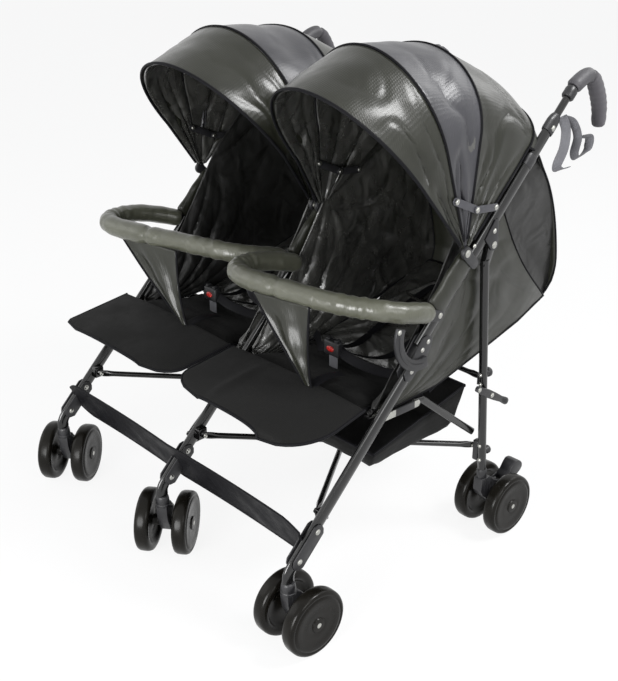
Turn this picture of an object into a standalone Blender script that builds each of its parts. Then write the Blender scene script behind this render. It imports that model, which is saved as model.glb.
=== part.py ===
"""Side-by-side folding stroller: three tube frames, two fabric seats, hoods, bars and a basket.

Metres, +Z up, the front faces -Y. The frames stand in the planes x = -FRAME_PITCH, 0 and
+FRAME_PITCH. Every y below is measured from the bend at the foot of the front legs, and
every z from the floor; the empty "stroller" then moves the whole to its own middle.
"""
import math

import bmesh
import bpy
from mathutils import Matrix, Vector

# Overall layout
FRAME_PITCH = 0.400
GAP = 0.0003
SINK = 0.0006
LEFT_SWIVEL = math.radians(37.0)
CENTRE_SWIVEL = math.radians(38.0)
RIGHT_SWIVEL = math.radians(0.0)

# Wheels and their housings
WHEEL_RADIUS = 0.0700
WHEEL_SIDES = 20
WHEEL_WIDTH = 0.0320
WHEEL_SPREAD = 0.0820
AXLE_RADIUS = 0.0040
AXLE_CLEARANCE = 0.0006
HOUSING_WIDTH = 0.0240
CASTER_TRAIL = 0.0250
COLLAR_RADIUS = 0.0145
COLLAR_TOP = 0.1500
COLLAR_HEIGHT = 0.0240
COLLAR_SINK = 0.0060

# Oval side tubes, in the plane of each frame
TUBE_WIDTH = 0.0150
TUBE_DEPTH = 0.0280
TUBE_SIDES = 12
LEG_BEND_Z = 0.1700
LEG_TOP_Y = 0.3220
TUBE_OFFSET = 0.0150
PUSH_START_Y = 0.3350
PUSH_END_Y = 0.7050
STEM_RADIUS = 0.0085
STEM_LENGTH = 0.0880
GRIP_RADIUS = 0.0165
GRIP_REACH = 0.1050
GRIP_DROP = 0.0950
CHEEK_THICKNESS = 0.0030
ARM_CENTRE = (0.3300, 0.5620)
ARM_RADIUS = 0.0660
ARM_WIDTH = 0.0220
ARM_THICKNESS = 0.0060

# Rear legs
REAR_PIVOT = (0.5350, 0.6850)
REAR_AXLE_Y = 0.6120
REAR_FOOT_Y = 0.5680
REAR_LEG_RADIUS = 0.0090
TONGUE_WIDTH = 0.0130
LOCK_Z = 0.3850
LOWER_KNOB_Z = 0.2040

BRAKE_PIVOT = (0.6220, 0.1030)
BRAKE_ARM = 0.0030

# Side links
LINK_FRONT = (0.2350, 0.3940)
LINK_ELBOW = (0.3550, 0.3920)
LINK_BEND = (0.3780, 0.3890)
LINK_REAR = (0.5420, 0.2560)
LINK_THICKNESS = 0.0030
LINK_DEPTH = 0.0150

# Cross bars under the seats
CROSS_FRONT = (0.0980, 0.2580)
CROSS_REAR = (0.5600, 0.2000)
CROSS_SIDE = 0.0280
CROSS_RADIUS = 0.0065
CROSS_STAGGER = 0.0200

# Rear lock links and the fold lever
LOCK_SIDE = 0.0200
LOCK_RADIUS = 0.0055
LOCK_DEPTH = 0.0090
LOCK_LAP = 0.0060
LEVER_PIVOT = (0.5600, 0.3480)
LEVER_LENGTH = 0.1400

# Hoods, turned about a hub on each side tube
HUB = (0.4440, 0.6910)
HUB_REACH = 0.0120
HOOD_LEFT_IN = 0.0150
HOOD_RIGHT_IN = 0.0480
HOOD_OVERHANG = 0.0080
HOOD_CORNER = 0.2500
HOOD_HUB_RADIUS = 0.0450
HOOD_SKIN = 0.0035
BOW_ANGLES = (49.6, 73.0, 98.0, 137.0)
BOW_HEIGHTS = (0.4120, 0.4020, 0.3760, 0.3480)
HOOD_SAG = 0.0050
CURTAIN_TURN = 1.4
CURTAIN_CLEARANCE = 0.0200

# Seats
SEAT_CLEARANCE = 0.0300
SEAT_FRONT = (0.2080, 0.4180)
SEAT_REAR = (0.3960, 0.3880)
SEAT_THICKNESS = 0.0280
BACK_PIVOT = (0.4020, 0.3780)
BACK_ANGLE = math.radians(15.2)
BACK_LENGTH = 0.3950
BACK_THICKNESS = 0.0260
BACK_CREASE = 0.0300
WING_CLEARANCE = 0.0188
WING_SKIN = 0.0030
FLANGE_Z = 0.4012

# Bumper bars, calf rests, footrest band and basket
BAR_SHIFT = 0.0070
BAR_CLEARANCE = 0.0150
BAR_RADIUS = 0.0185
BAR_END = (0.3500, 0.5880)
BAR_FRONT = (0.1720, 0.6170)
BAR_RIVET = (0.3830, 0.5790)
TAB_THICKNESS = 0.0030
CALF_FRONT = (0.0280, 0.4120)
CALF_REAR = (0.2000, 0.4350)
CALF_CLEARANCE = 0.0170
CALF_THICKNESS = 0.0120
CALF_CORNER = 0.0600
BAND_MIDDLE = (0.0400, 0.2180)
BAND_WIDTH = 0.1000
BAND_LEAN = math.radians(23.0)
BAND_THICKNESS = 0.0040
BAND_BOW = 0.0060
EAR_THICKNESS = 0.0030
BASKET_FRONT_Y = 0.2500
BASKET_REAR_Y = 0.5220
BASKET_FLOOR_Z = 0.2660
BASKET_FRONT_Z = 0.3080
BASKET_REAR_Z = 0.3680
BASKET_DIP = 0.0350
BASKET_SKIN = 0.0030

# Harness buckles
BUCKLE_Y = 0.3050
BUCKLE_Z = 0.4650
BUCKLE_SIZE = (0.0420, 0.0180, 0.0320)
BUCKLE_EDGE = 0.0010
STRAP_FOOT_Z = 0.4170
BUTTON_SIZE = (0.0200, 0.0060, 0.0120)
BUTTON_PROUD = 0.0020
BUTTON_TRAVEL = 0.0030
BUTTON_CLEARANCE = 0.0004

# Values that follow from the ones above
WHEEL_AXLE_Z = WHEEL_RADIUS * math.cos(math.pi / WHEEL_SIDES)
PAIR_HALF = (WHEEL_SPREAD + WHEEL_WIDTH) / 2
LEG_RISE = LEG_BEND_Z
PUSH_RISE = LEG_BEND_Z + TUBE_OFFSET * math.sqrt(2.0)
SIDES = {"left": -FRAME_PITCH, "centre": 0.0, "right": FRAME_PITCH}
SWIVELS = {"left": LEFT_SWIVEL, "centre": CENTRE_SWIVEL, "right": RIGHT_SWIVEL}
BAYS = {"left": -1.0, "right": 1.0}
BAY_HALF = FRAME_PITCH / 2
SEAT_HALF = BAY_HALF - SEAT_CLEARANCE
FLANGE_LAP = SEAT_HALF * 3 / 17
WING_SIDE = BAY_HALF - WING_CLEARANCE
CURTAIN_HALF = BAY_HALF - CURTAIN_CLEARANCE
CALF_HALF = BAY_HALF - CALF_CLEARANCE
BAR_MIDDLE = BAY_HALF + BAR_SHIFT
BAR_HALF = BAY_HALF - BAR_CLEARANCE
HOOD_HUBS = {"left": (-FRAME_PITCH - HUB_REACH, -HUB_REACH),
             "right": (HUB_REACH, FRAME_PITCH + HUB_REACH)}
HOOD_WALLS = {"left": (-FRAME_PITCH + HOOD_LEFT_IN, HOOD_OVERHANG),
              "right": (HOOD_RIGHT_IN, FRAME_PITCH + HOOD_OVERHANG)}


def caster_reach(angle):
    """Half the width that a pair of front wheels covers when swivelled by an angle."""
    return PAIR_HALF * math.cos(angle) + WHEEL_RADIUS * abs(math.sin(angle))


def caster_depth(angle):
    """How far in front of its swivel axis a pair of front wheels reaches."""
    return (PAIR_HALF * abs(math.sin(angle)) + WHEEL_RADIUS * math.cos(angle)
            - CASTER_TRAIL * math.cos(angle))


WHEEL_TRAIL_X = CASTER_TRAIL * math.sin(LEFT_SWIVEL)
LEFT_REACH = FRAME_PITCH + WHEEL_TRAIL_X + caster_reach(LEFT_SWIVEL)
RIGHT_REACH = FRAME_PITCH + caster_reach(RIGHT_SWIVEL)
FRONT_REACH = caster_depth(CENTRE_SWIVEL)
REAR_REACH = PUSH_END_Y + STEM_LENGTH / math.sqrt(2.0) + GRIP_REACH + GRIP_RADIUS
ORIGIN = Vector(((RIGHT_REACH - LEFT_REACH) / 2, (REAR_REACH - FRONT_REACH) / 2, 0.0))


def clear_scene():
    for item in list(bpy.data.objects):
        bpy.data.objects.remove(item, do_unlink=True)


def make_material(name, colour, roughness, metallic=0.0):
    material = bpy.data.materials.new(name)
    material.use_nodes = True
    shader = material.node_tree.nodes["Principled BSDF"]
    shader.inputs["Base Color"].default_value = (*colour, 1.0)
    shader.inputs["Roughness"].default_value = roughness
    shader.inputs["Metallic"].default_value = metallic
    return material


def add_piece(name, mesh, material, pivot, root, joined=()):
    """Turn a bmesh drawn in stroller coordinates into an object whose origin is its pivot.

    The shapes in joined overlap the first one, and a Boolean union makes one body of them.
    """
    bmesh.ops.recalc_face_normals(mesh, faces=mesh.faces)
    bmesh.ops.translate(mesh, verts=mesh.verts, vec=-Vector(pivot))
    data = bpy.data.meshes.new(name)
    mesh.to_mesh(data)
    mesh.free()
    data.materials.append(material)
    data.shade_smooth()
    data.set_sharp_from_angle(angle=math.radians(40))
    piece = bpy.data.objects.new(name, data)
    piece.parent = root
    piece.location = pivot
    bpy.context.scene.collection.objects.link(piece)
    for index, shape in enumerate(joined):
        operand = add_piece(f"{name}_shape_{index}", shape, material, pivot, root)
        operand.hide_render = True
        operand.display_type = "WIRE"
        union = piece.modifiers.new(f"Join {index}", "BOOLEAN")
        union.object = operand
        union.operation = "UNION"
        union.solver = "EXACT"
    return piece


def add_solidify(piece, thickness):
    """Give an open sheet its thickness, half to each side."""
    skin = piece.modifiers.new("Skin", "SOLIDIFY")
    skin.thickness = thickness
    skin.offset = 0.0
    skin.use_even_offset = False
    return skin


def add_bevel(piece, width, segments=1):
    edge = piece.modifiers.new("Edge", "BEVEL")
    edge.width = width
    edge.segments = segments
    edge.limit_method = "ANGLE"
    edge.angle_limit = math.radians(50)
    return edge


def loop_edges(ring):
    """The edges that join the neighbouring vertices of one ring."""
    members = set(ring)
    return [edge for vertex in ring for edge in vertex.link_edges
            if edge.other_vert(vertex) in members]


def add_ring(mesh, centre, across, along, half_across, half_along, sides):
    """One oval ring about a point, spanned by two unit vectors."""
    matrix = Matrix.Identity(4)
    for row in range(3):
        matrix[row][0] = across[row] * half_across
        matrix[row][1] = along[row] * half_along
        matrix[row][2] = across.cross(along)[row]
        matrix[row][3] = centre[row]
    made = bmesh.ops.create_circle(mesh, segments=sides, radius=1.0, matrix=matrix)
    return made["verts"]


def add_loft(mesh, rings):
    """Join a row of rings into one closed body."""
    for first, second in zip(rings, rings[1:]):
        edges = list(set(loop_edges(first) + loop_edges(second)))
        bmesh.ops.bridge_loops(mesh, edges=edges)
    mesh.faces.new(rings[0])
    mesh.faces.new(rings[-1])


def add_tube(mesh, points, across, half_across, half_along, sides=TUBE_SIDES):
    """An oval tube along a route; across stays square to the route's own plane."""
    points = [Vector(point) for point in points]
    across = Vector(across).normalized()
    rings = []
    for index, point in enumerate(points):
        before = (point - points[max(index - 1, 0)])
        after = (points[min(index + 1, len(points) - 1)] - point)
        before = before.normalized() if before.length else after.normalized()
        after = after.normalized() if after.length else before
        tangent = (before + after).normalized()
        along = tangent.cross(across).normalized()
        mitre = 1.0 / max(tangent.dot(before), 0.5)
        side = along.cross(tangent).normalized()
        rings.append(add_ring(mesh, point, side, along, half_across, half_along * mitre, sides))
    add_loft(mesh, rings)


def add_plate(mesh, outline, low_x, high_x):
    """A flat plate square to x, from an outline of (y, z) points."""
    corners = [mesh.verts.new((low_x, y, z)) for y, z in outline]
    face = mesh.faces.new(corners)
    grown = bmesh.ops.extrude_face_region(mesh, geom=[face])
    moved = [item for item in grown["geom"] if isinstance(item, bmesh.types.BMVert)]
    bmesh.ops.translate(mesh, verts=moved, vec=(high_x - low_x, 0, 0))


def add_cylinder(mesh, centre, axis, radius, length, sides=12, end_radius=None):
    turn = Vector((0, 0, 1)).rotation_difference(Vector(axis)).to_matrix().to_4x4()
    bmesh.ops.create_cone(
        mesh, cap_ends=True, segments=sides, radius1=radius,
        radius2=radius if end_radius is None else end_radius, depth=length,
        matrix=Matrix.Translation(Vector(centre)) @ turn)


def add_box(mesh, centre, size):
    matrix = Matrix.Translation(Vector(centre)) @ Matrix.Diagonal((*size, 1.0))
    bmesh.ops.create_cube(mesh, size=1.0, matrix=matrix)


def new_plate(outline, low_x, high_x):
    mesh = bmesh.new()
    add_plate(mesh, outline, low_x, high_x)
    return mesh


def new_box(low, high):
    mesh = bmesh.new()
    low, high = Vector(low), Vector(high)
    add_box(mesh, (low + high) / 2, [abs(value) for value in high - low])
    return mesh


def new_cylinder(*settings, **options):
    mesh = bmesh.new()
    add_cylinder(mesh, *settings, **options)
    return mesh


def new_tube(*settings):
    mesh = bmesh.new()
    add_tube(mesh, *settings)
    return mesh


def add_sheet(mesh, rows, above=None):
    """An open sheet through rows of points, sewn to the row of vertices above it if given."""
    lines = [[mesh.verts.new(point) for point in row] for row in rows]
    if above:
        lines.insert(0, above)
    for lower, upper in zip(lines, lines[1:]):
        for index in range(len(lower) - 1):
            mesh.faces.new((lower[index], lower[index + 1], upper[index + 1], upper[index]))
    return lines


def close_rim(mesh, top, bottom):
    """Join the edges of two sheets of the same size, which makes one closed body of them."""
    rims = []
    for sheet in (top, bottom):
        right = [row[-1] for row in sheet[:-1]]
        left = [row[0] for row in sheet[:0:-1]]
        rims.append(sheet[0][:-1] + right + sheet[-1][:0:-1] + left)
    rim_top, rim_bottom = rims
    for index in range(len(rim_top)):
        after = (index + 1) % len(rim_top)
        mesh.faces.new((rim_top[index], rim_bottom[index], rim_bottom[after], rim_top[after]))


def new_slab(rows, offset):
    """A closed slab between a sheet through rows of points and the same sheet moved over."""
    mesh = bmesh.new()
    top = add_sheet(mesh, rows)
    bottom = add_sheet(mesh, [[point + offset for point in row] for row in rows])
    close_rim(mesh, top, bottom)
    return mesh


def add_pad(mesh, place, columns, rows, thickness, crown):
    """A closed cushion. place(u, v) gives a point of its middle sheet and the sheet's normal."""
    sheets = []
    for sign in (1.0, -1.0):
        lines = []
        for row in range(rows + 1):
            v = row / rows
            line = []
            for column in range(columns + 1):
                u = column / columns
                swell = (1 - abs(2 * u - 1) ** 4) * (1 - abs(2 * v - 1) ** 4)
                middle, normal = place(u, v)
                height = thickness * (0.30 + 0.20 * swell) + (crown * swell if sign > 0 else 0)
                line.append(middle + normal * sign * height)
            lines.append(line)
        sheets.append(add_sheet(mesh, lines))
    close_rim(mesh, *sheets)


def side_point(y, z, x=0.0):
    return Vector((x, y, z))


def arc(centre, radius, start, end, steps):
    """Points of (y, z) on a circle, from one angle to another in degrees."""
    points = []
    for step in range(steps + 1):
        angle = math.radians(start + (end - start) * step / steps)
        points.append((centre[0] + radius * math.cos(angle), centre[1] + radius * math.sin(angle)))
    return points


def wheel_profile():
    """Half of a wheel pair's outline as (x, radius), from the middle of the axle outwards."""
    inner = WHEEL_SPREAD / 2 - WHEEL_WIDTH / 2
    outer = WHEEL_SPREAD / 2 + WHEEL_WIDTH / 2
    hub = HOUSING_WIDTH / 2 + AXLE_CLEARANCE
    return [
        (hub, AXLE_RADIUS), (hub, 0.0120), (inner + 0.005, 0.0120), (inner + 0.005, 0.0490),
        (inner, 0.0560), (inner + 0.005, WHEEL_RADIUS), (outer - 0.006, WHEEL_RADIUS),
        (outer, 0.0590), (outer - 0.0035, 0.0520), (outer - 0.0010, 0.0)]


def build_wheels(name, centre, angle, material, root):
    """Two wheels on one axle, turned as a single closed body about the axle."""
    mesh = bmesh.new()
    half = wheel_profile()
    outline = [(-x, radius) for x, radius in reversed(half)] + half
    start = math.pi / WHEEL_SIDES
    chain = [mesh.verts.new((x, radius * math.sin(start), -radius * math.cos(start)))
             for x, radius in outline]
    edges = [mesh.edges.new(pair) for pair in zip(chain, chain[1:])]
    bmesh.ops.spin(mesh, geom=chain + edges, cent=(0, 0, 0), axis=(1, 0, 0),
                   angle=math.tau, steps=WHEEL_SIDES, use_merge=True)
    bmesh.ops.remove_doubles(mesh, verts=mesh.verts, dist=0.00001)
    bmesh.ops.rotate(mesh, verts=mesh.verts, cent=(0, 0, 0),
                     matrix=Matrix.Rotation(angle, 3, "Z"))
    bmesh.ops.translate(mesh, verts=mesh.verts, vec=centre)
    return add_piece(name, mesh, material, centre, root)


def cut_axle_bore(piece, centre, angle, root):
    """Bore a housing for its axle with a running clearance."""
    mesh = bmesh.new()
    axis = Vector((math.cos(angle), math.sin(angle), 0.0))
    add_cylinder(mesh, centre, axis, AXLE_RADIUS + AXLE_CLEARANCE, HOUSING_WIDTH * 2, 12)
    cutter = add_piece(piece.name + "_bore", mesh, piece.data.materials[0], centre, root)
    cutter.hide_render = True
    cutter.display_type = "WIRE"
    bore = piece.modifiers.new("Axle bore", "BOOLEAN")
    bore.object = cutter
    bore.operation = "DIFFERENCE"
    bore.solver = "EXACT"


def build_caster(side, material, root):
    """The swivelling housing of a front wheel pair, ribbed along its two faces."""
    x = SIDES[side]
    angle = SWIVELS[side]
    mesh = bmesh.new()
    z = WHEEL_AXLE_Z
    neck = COLLAR_TOP - COLLAR_HEIGHT
    outline = [(-0.0120, neck), (0.0140, neck), (0.0260, neck - 0.0100), (0.0440, z + 0.0300)]
    outline += arc((CASTER_TRAIL, z), 0.0190, 0, -150, 5)
    outline += [(-0.0020, z + 0.0100), (-0.0100, z + 0.0340)]
    add_plate(mesh, outline, -HOUSING_WIDTH / 2, HOUSING_WIDTH / 2)
    collar = new_cylinder((x, 0, COLLAR_TOP - COLLAR_HEIGHT / 2 - COLLAR_SINK / 2), (0, 0, 1),
                          COLLAR_RADIUS, COLLAR_HEIGHT + COLLAR_SINK, 14,
                          end_radius=COLLAR_RADIUS * 0.86)
    turn = Matrix.Rotation(angle, 3, "Z")
    bmesh.ops.rotate(mesh, verts=mesh.verts, cent=(0, 0, 0), matrix=turn)
    bmesh.ops.translate(mesh, verts=mesh.verts, vec=(x, 0, 0))
    piece = add_piece("caster_" + side, mesh, material, (x, 0, z), root, [collar])
    centre = Vector((x, 0, z)) + turn @ Vector((0, CASTER_TRAIL, 0))
    cut_axle_bore(piece, centre, angle, root)
    return centre


def build_front_leg(side, material, root):
    """The lower oval tube, bent upright at its foot, with the cross bars' pivot blocks."""
    x = SIDES[side]
    mesh = bmesh.new()
    foot = COLLAR_TOP + GAP
    bend = [(0.0, foot), (0.0, LEG_BEND_Z - 0.0080), (0.0035, LEG_BEND_Z + 0.0030)]
    straight = [(y, y + LEG_RISE) for y in (0.0180, 0.1600, LEG_TOP_Y)]
    route = [side_point(y, z, x) for y, z in bend + straight]
    add_tube(mesh, route, (1, 0, 0), TUBE_WIDTH / 2, TUBE_DEPTH / 2)
    blocks = []
    for direction in bay_directions(side):
        inner = x + direction * (TUBE_WIDTH / 2 - SINK * 2)
        outer = x + direction * (CROSS_SIDE - CROSS_RADIUS - GAP)
        y, z = CROSS_FRONT[0], CROSS_FRONT[1] + stagger(side, direction)
        blocks.append(new_box((inner, y - 0.0100, z - 0.0120), (outer, y + 0.0100, z + 0.0120)))
    return add_piece("front_leg_" + side, mesh, material, (x, 0, LEG_BEND_Z), root, blocks)


def bay_directions(side):
    """The sides on which a frame has a neighbour: +1 to the right, -1 to the left."""
    return {"left": (1.0,), "centre": (-1.0, 1.0), "right": (-1.0,)}[side]


def stagger(side, direction):
    """Cross bars that lean right run above the ones that lean left."""
    return direction * CROSS_STAGGER / 2


def build_side_joint(side, material, root):
    """The moulded joint between the two tubes: two cheeks and the curved arm under the bar."""
    x = SIDES[side]
    mesh = bmesh.new()
    low = TUBE_WIDTH / 2 + GAP
    high = low + CHEEK_THICKNESS
    half = TUBE_DEPTH / 2
    plate = []
    for along, off in ((-0.050, -half), (-0.010, -half - 0.006), (0.030, -half),
                       (0.044, 0.000), (0.030, half + 0.006), (-0.030, half), (-0.056, 0.004)):
        y = LEG_TOP_Y + 0.008 + (along - off) / math.sqrt(2.0)
        z = LEG_TOP_Y + 0.008 + (along + off) / math.sqrt(2.0) + (LEG_RISE + PUSH_RISE) / 2
        plate.append((y, z))
    add_plate(mesh, plate, x + low, x + high)
    other = new_plate(plate, x - high, x - low)
    # A web between the two tube ends ties the cheeks together.
    web_low = (LEG_TOP_Y + PUSH_START_Y) / 2 - (PUSH_START_Y - LEG_TOP_Y) * 0.28
    web_high = (LEG_TOP_Y + PUSH_START_Y) / 2 + (PUSH_START_Y - LEG_TOP_Y) * 0.28
    reach = half * 0.6 / math.sqrt(2.0)
    rise = (LEG_RISE + PUSH_RISE) / 2
    web = new_plate([(web_low + reach, web_low + rise - reach),
                     (web_high + reach, web_high + rise - reach),
                     (web_high - reach, web_high + rise + reach),
                     (web_low - reach, web_low + rise + reach)], x - low - SINK, x + low + SINK)
    outer = arc(ARM_CENTRE, ARM_RADIUS + ARM_WIDTH / 2, 160, 282, 6)
    inner = arc(ARM_CENTRE, ARM_RADIUS - ARM_WIDTH / 2, 282, 160, 6)
    side_sign = 1.0 if side == "right" else -1.0
    start = x + side_sign * (high - SINK)
    arm = new_plate(outer + inner, start, start + side_sign * ARM_THICKNESS)
    pivot = (x, LEG_TOP_Y, LEG_TOP_Y + LEG_RISE)
    return add_piece("side_joint_" + side, mesh, material, pivot, root, [other, web, arm])


def build_push_tube(side, material, root):
    """The upper oval tube with its slim stem and the two ears that hold the rear leg."""
    x = SIDES[side]
    mesh = bmesh.new()
    route = [side_point(y, y + PUSH_RISE, x)
             for y in (PUSH_START_Y, (PUSH_START_Y + PUSH_END_Y) / 2, PUSH_END_Y)]
    add_tube(mesh, route, (1, 0, 0), TUBE_WIDTH / 2, TUBE_DEPTH / 2)
    root_y = PUSH_END_Y - 0.0040
    stem = new_tube([side_point(root_y + step, root_y + PUSH_RISE + step, x)
                     for step in (0.0, STEM_LENGTH / math.sqrt(2.0) + 0.0040)],
                    (1, 0, 0), STEM_RADIUS * 0.84, STEM_RADIUS)
    low = TUBE_WIDTH / 2 - SINK
    high = low + CHEEK_THICKNESS
    pivot_y, pivot_z = REAR_PIVOT
    ear = arc((pivot_y, pivot_z), 0.0120, -150, 0, 4)
    ear += [(pivot_y + 0.0080, pivot_y + 0.0110 + PUSH_RISE),
            (pivot_y - 0.0280, pivot_y - 0.0250 + PUSH_RISE)]
    ears = [new_plate(ear, x + sign * low, x + sign * high) for sign in (-1.0, 1.0)]
    pivot = (x, PUSH_START_Y, PUSH_START_Y + PUSH_RISE)
    return add_piece("push_tube_" + side, mesh, material, pivot, root, [stem, *ears])


def build_grip(side, material, root):
    """The foam grip, curved back and down like the crook of a cane."""
    x = SIDES[side]
    mesh = bmesh.new()
    step = STEM_LENGTH / math.sqrt(2.0) + GAP
    start_y = PUSH_END_Y + step
    start_z = PUSH_END_Y + PUSH_RISE + step
    points = []
    for index in range(8):
        t = index / 7
        y = start_y + GRIP_REACH * math.sin(t * math.pi / 2) ** 0.90
        z = start_z + 0.0200 * math.sin(math.pi * min(t * 1.6, 1.0)) - GRIP_DROP * t ** 2.6
        points.append(side_point(y, z, x))
    rings = []
    for index, point in enumerate(points):
        after = points[min(index + 1, 7)]
        before = points[max(index - 1, 0)]
        tangent = (after - before).normalized() if index else Vector((0, 1, 1)).normalized()
        along = tangent.cross(Vector((1, 0, 0))).normalized()
        swell = 0.86 if index in (0, 7) else 1.0
        rings.append(add_ring(mesh, point, Vector((1, 0, 0)), along, GRIP_RADIUS * swell,
                              GRIP_RADIUS * swell, 12))
    add_loft(mesh, rings)
    return add_piece("grip_" + side, mesh, material, (x, start_y, start_z), root)


def leg_y(z):
    """The rear leg's y at a height: it leans back towards its foot."""
    top_y, top_z = REAR_PIVOT
    foot_z = WHEEL_AXLE_Z + 0.0640
    return top_y - 0.0160 + (REAR_FOOT_Y - top_y + 0.0160) * (top_z - z) / (top_z - foot_z)


def build_rear_leg(side, material, root):
    """Rear leg: tube, flat tongue at the pivot, brackets, knobs and the moulded foot."""
    x = SIDES[side]
    mesh = bmesh.new()
    foot_top = WHEEL_AXLE_Z + 0.0640
    tube_top = REAR_PIVOT[1] - 0.0300
    route = [side_point(leg_y(z), z, x) for z in (foot_top, 0.40, tube_top)]
    add_tube(mesh, route, (1, 0, 0), REAR_LEG_RADIUS, REAR_LEG_RADIUS)
    top_y = leg_y(tube_top)
    tongue = arc(REAR_PIVOT, 0.0110, -20, 160, 5)
    tongue += [(top_y - 0.0080, tube_top - 0.0120), (top_y + 0.0080, tube_top - 0.0120)]
    joined = [new_plate(tongue, x - TONGUE_WIDTH / 2, x + TONGUE_WIDTH / 2)]
    foot = [(REAR_FOOT_Y - 0.0125, foot_top + 0.0060), (REAR_FOOT_Y - 0.0140, foot_top - 0.0240),
            (REAR_AXLE_Y - 0.0300, WHEEL_AXLE_Z + 0.0080)]
    foot += arc((REAR_AXLE_Y, WHEEL_AXLE_Z), 0.0180, 200, 360, 6)
    foot += [(BRAKE_PIVOT[0] + 0.0080, BRAKE_PIVOT[1] - 0.0080),
             (BRAKE_PIVOT[0] + 0.0070, BRAKE_PIVOT[1] + 0.0070),
             (REAR_FOOT_Y + 0.0140, foot_top + 0.0060)]
    joined.append(new_plate(foot, x - HOUSING_WIDTH / 2, x + HOUSING_WIDTH / 2))
    for direction in bay_directions(side):
        inner = x + direction * (REAR_LEG_RADIUS - SINK * 3)
        for z, reach, half in ((LOCK_Z, LOCK_SIDE - LOCK_DEPTH - GAP, 0.0140),
                               (LOWER_KNOB_Z, CROSS_SIDE - CROSS_RADIUS - GAP, 0.0240)):
            y = leg_y(z)
            joined.append(new_box((inner, y - 0.0070, z - half),
                                  (x + direction * reach, y + 0.0070, z + half)))
    for z, radius in ((LOCK_Z + 0.0120, 0.0105), (LOWER_KNOB_Z, 0.0095)):
        y = leg_y(z) + REAR_LEG_RADIUS + 0.0040
        joined.append(new_cylinder((x, y, z), (0, 1, 0), radius * 0.75, 0.0160, 12,
                                   end_radius=radius))
    piece = add_piece("rear_leg_" + side, mesh, material, (x, *REAR_PIVOT), root, joined)
    centre = Vector((x, REAR_AXLE_Y, WHEEL_AXLE_Z))
    cut_axle_bore(piece, centre, 0.0, root)
    return centre


def build_brake(side, material, root):
    """The brake lever: a rounded paddle on two arms that straddle the foot of the rear leg."""
    x = SIDES[side]
    y, z = BRAKE_PIVOT
    mesh = bmesh.new()
    paddle = [(0.0160, -0.0030), (0.0580, 0.0020), (0.0750, 0.0160), (0.0680, 0.0320),
              (0.0480, 0.0390), (0.0300, 0.0180), (0.0160, 0.0100)]
    half = HOUSING_WIDTH / 2 + GAP + BRAKE_ARM
    add_plate(mesh, [(y + dy, z + dz) for dy, dz in paddle], x - half, x + half)
    arm = arc(BRAKE_PIVOT, 0.0070, 90, 270, 5) + [(y + 0.0220, z - 0.0015), (y + 0.0220, z + 0.0115)]
    arms = [new_plate(arm, x + sign * (half - BRAKE_ARM), x + sign * (half - SINK))
            for sign in (-1.0, 1.0)]
    piece = add_piece("brake_" + side, mesh, material, (x, y, z), root, arms)
    add_bevel(piece, 0.0008)
    return piece


def inner_direction(side):
    return -1.0 if side == "right" else 1.0


def build_side_links(side, silver, black, root):
    """The folding link between front and rear leg: a flat front bar and a bent rear bar."""
    x = SIDES[side]
    sign = inner_direction(side)
    low = TUBE_WIDTH / 2 + CHEEK_THICKNESS + 2 * GAP
    mesh = bmesh.new()
    half = LINK_DEPTH / 2
    outline = arc(LINK_FRONT, half, 90, 270, 5) + arc(LINK_ELBOW, half, -90, 90, 5)
    add_plate(mesh, outline, x + sign * low, x + sign * (low + LINK_THICKNESS))
    front = add_piece("side_link_front_" + side, mesh, silver, (x, *LINK_FRONT), root)
    add_bevel(front, 0.0005)
    start = low + LINK_THICKNESS + GAP
    mesh = bmesh.new()
    width = LINK_THICKNESS + 0.0040
    middle = x + sign * (start + width / 2)
    run = Vector(LINK_BEND) - Vector(LINK_ELBOW)
    run = run.normalized() * 0.0060
    fall = (Vector(LINK_REAR) - Vector(LINK_BEND)).normalized() * 0.0060
    points = [(LINK_ELBOW[0] - run.x, LINK_ELBOW[1] - run.y), LINK_ELBOW,
              (LINK_BEND[0] - run.x, LINK_BEND[1] - run.y),
              (LINK_BEND[0] + fall.x, LINK_BEND[1] + fall.y),
              (LINK_REAR[0] + fall.x, LINK_REAR[1] + fall.y)]
    add_tube(mesh, [side_point(y, z, middle) for y, z in points], (1, 0, 0), width / 2, half, 10)
    add_piece("side_link_rear_" + side, mesh, black, (x, *LINK_REAR), root)


def cross_bar_ends(side, direction):
    """The two ends of a cross bar: its front pivot and its seat at the next rear leg."""
    x = SIDES[side]
    lift = stagger(side, direction)
    front = Vector((x + direction * CROSS_SIDE, CROSS_FRONT[0], CROSS_FRONT[1] + lift))
    rear = Vector((x + direction * (FRAME_PITCH - CROSS_SIDE), leg_y(LOWER_KNOB_Z),
                   CROSS_REAR[1] + lift))
    return front, rear


def build_cross_bar(name, side, direction, material, root):
    """A straight bar from one front leg to the next frame's rear leg, its ends flattened."""
    front, rear = cross_bar_ends(side, direction)
    run = (rear - front).normalized()
    across = run.cross(Vector((0, 0, 1))).normalized()
    up = across.cross(run).normalized()
    length = (rear - front).length
    mesh = bmesh.new()
    rings = []
    for distance, half_across, half_up in (
            (-0.0070, 0.0030, 0.0060), (0.0060, 0.0036, 0.0080), (0.0260, 0.0060, 0.0065),
            (length - 0.0260, 0.0060, 0.0065), (length - 0.0060, 0.0036, 0.0080),
            (length + 0.0050, 0.0030, 0.0060)):
        rings.append(add_ring(mesh, front + run * distance, across, up, half_across, half_up, 10))
    add_loft(mesh, rings)
    add_piece(name, mesh, material, front, root)


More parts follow.
